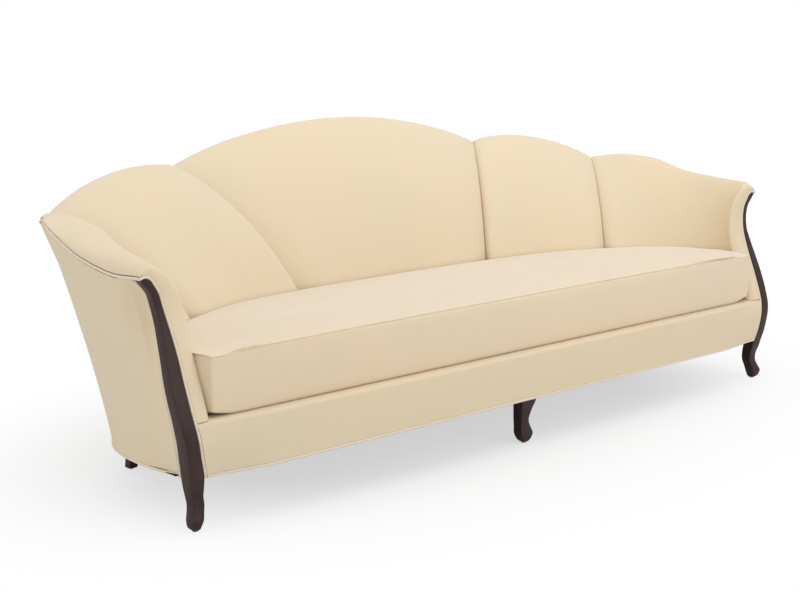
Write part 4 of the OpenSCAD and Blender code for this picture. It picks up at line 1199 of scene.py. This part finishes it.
# Foam core
# The block of foam inside the cushion's cover, a little smaller than the cover all round.
foam_room, foam_edge, foam_slope = 0.005, 0.02, 0.012
foam_levels = [(cushion_low + foam_room, draw, foam_edge) for draw in block_draws]
foam_levels += [(z, 0.0, foam_room) for z in (cushion_low + foam_slope, seat_h - foam_slope)]
foam_levels += [(seat_h - foam_room, draw, foam_edge) for draw in block_draws[::-1]]
core = loft("cushion_foam", [cushion_ring(*level) for level in foam_levels], foam)
soft_piece(core, "cushion_core", body="cushion")

# Dust cover
# A sheet of thin black cloth, pulled tight and stapled under the seat's rails.
dust_z, dust_t, dust_front, dust_steps, dust_draw = 0.1467, 0.0008, 0.0095, 120, 0.98


def dust_pairs():
    pairs = []
    behind_post = post_front(hem_z) + post_at(4, hem_z) + piping_d
    for g in spread(-arm_turn, arm_turn, dust_steps):
        x, y, _ = spot(g, hem_r(abs(g)) - piping_d - wood_gap, 0)
        turned = ease((abs(x) / post_in(hem_z) - apron_turn_share) / (1 - apron_turn_share))
        pairs.append(((x, y), (x, mix(dust_front, behind_post, turned) - mid_y)))
    return pairs


dust_top = dust_z + dust_t
dust_levels = [(dust_z, dust_draw), (dust_z, 0.0), (dust_top, 0.0), (dust_top, dust_draw)]
dust_rings = [pairs_ring(dust_pairs(), z, draw) for z, draw in dust_levels]
dust = loft("dust_cloth", dust_rings, black_cloth)
trim(dust, "dust_cover", slot="black_cloth")
under = ["front_rail", "rear_rail", "side_rail_left", "side_rail_right"]
under += ["corner_rail_left", "corner_rail_right"]

# Glides
# A round steel glide nailed under each foot.
glide_r, glide_round, glide_sides = 0.009, 0.001, 16
foot_row, middle_row, base_row = foot_shares[0], middle_foot_shares[0], post_rows[0]
glide_x = base_row[2] + foot_row[3] * post_w
glide_y = base_row[1] + base_row[4] / 2 + foot_row[4] * post_d - mid_y
places = [(glide_x, glide_y), (-glide_x, glide_y)]
places.append((0, front_leg_y + (middle_row[1] + middle_row[3] / 2 - 0.5) * leg_w - mid_y))
places.append((0, leg_spot(0)[1] + leg_rake))
places += [(sign * (side_leg[0] + side_rake[0]), side_leg[1] + side_rake[1]) for sign in (1, -1)]
turns = [k / glide_sides * math.tau for k in range(glide_sides)]
rim = [(math.cos(turn), math.sin(turn)) for turn in turns]
levels = ((0, glide_r - glide_round), (glide_round, glide_r), (glide_t, glide_r))
discs = []
for x, y in places:
    rings = [[(x + r * c, y + r * s, z) for c, s in rim] for z, r in levels]
    discs.append(loft("glide", rings, steel))
trim(join("glide_discs", discs), "foot_glides", slot="steel")

# Studio
# A white floor that runs into a white surround, one large soft light overhead and a weaker one
# from the front, so that the sofa's shadow lies soft and grey under it.
floor_r, floor_sides = 14.0, 64
floor_mesh = bpy.data.meshes.new("floor")
shape = bmesh.new()
bmesh.ops.create_circle(shape, cap_ends=True, segments=floor_sides, radius=floor_r)
shape.to_mesh(floor_mesh)
shape.free()
floor = bpy.data.objects.new("floor", floor_mesh)
scene.collection.objects.link(floor)
floor_paint, tree, shader = new_material("floor_paint")
feed(tree, shader, {"Base Color": (0.80, 0.80, 0.80, 1), "Roughness": 0.9})
white = add(tree, "ShaderNodeEmission", {"Color": (1, 1, 1, 1), "Strength": 1.0})
place = add(tree, "ShaderNodeTexCoord").outputs["Object"]
away = add(tree, "ShaderNodeVectorMath", {0: place, 1: (0.75, 1.15, 1.0)}, operation="MULTIPLY").outputs[0]
away = add(tree, "ShaderNodeVectorMath", {0: away}, operation="LENGTH").outputs["Value"]
ends = {"Value": away, "From Min": 0.6, "From Max": 1.45}
fade = add(tree, "ShaderNodeMapRange", ends, interpolation_type="SMOOTHSTEP").outputs[0]
seen = add(tree, "ShaderNodeLightPath").outputs["Is Camera Ray"]
blank = add(tree, "ShaderNodeMapRange", {"Value": fade, "To Min": 0.60, "To Max": 1.0}).outputs[0]
share = maths(tree, "MULTIPLY", blank, seen)
both = add(tree, "ShaderNodeMixShader", {0: share, 1: shader.outputs[0], 2: white.outputs[0]})
tree.links.new(both.outputs[0], tree.nodes["Material Output"].inputs[0])
floor_mesh.materials.append(floor_paint)

world = bpy.data.worlds.new("surround")
world.use_nodes = True
scene.world = world
tree = world.node_tree
background = tree.nodes["Background"]
path = add(tree, "ShaderNodeLightPath").outputs
shown = maths(tree, "MAXIMUM", path["Is Camera Ray"], path["Is Transmission Ray"])
ambient = 0.78
level = add(tree, "ShaderNodeMapRange", {"Value": shown, "To Min": ambient, "To Max": 1.0})
feed(tree, background, {"Strength": level.outputs[0], "Color": (1, 1, 1, 1)})


def soft_light(name, place, aim, size, power):
    lamp = bpy.data.lights.new(name, "AREA")
    lamp.shape = "RECTANGLE"
    lamp.size, lamp.size_y = size
    lamp.energy = power
    light = bpy.data.objects.new(name, lamp)
    light.location = place
    light.rotation_euler = (Vector(aim) - Vector(place)).to_track_quat("-Z", "Y").to_euler()
    scene.collection.objects.link(light)


soft_light("overhead", place=(0.3, -0.6, 3.6), aim=(0, 0, 0.4), size=(4.5, 3.0), power=48)
soft_light("front_fill", place=(1.0, -4.5, 2.4), aim=(0, 0, 0.4), size=(3.0, 2.0), power=24)
soft_light("side_fill", place=(-4.6, 0.4, 1.3), aim=(-1.2, 0, 0.45), size=(1.6, 1.2), power=12)
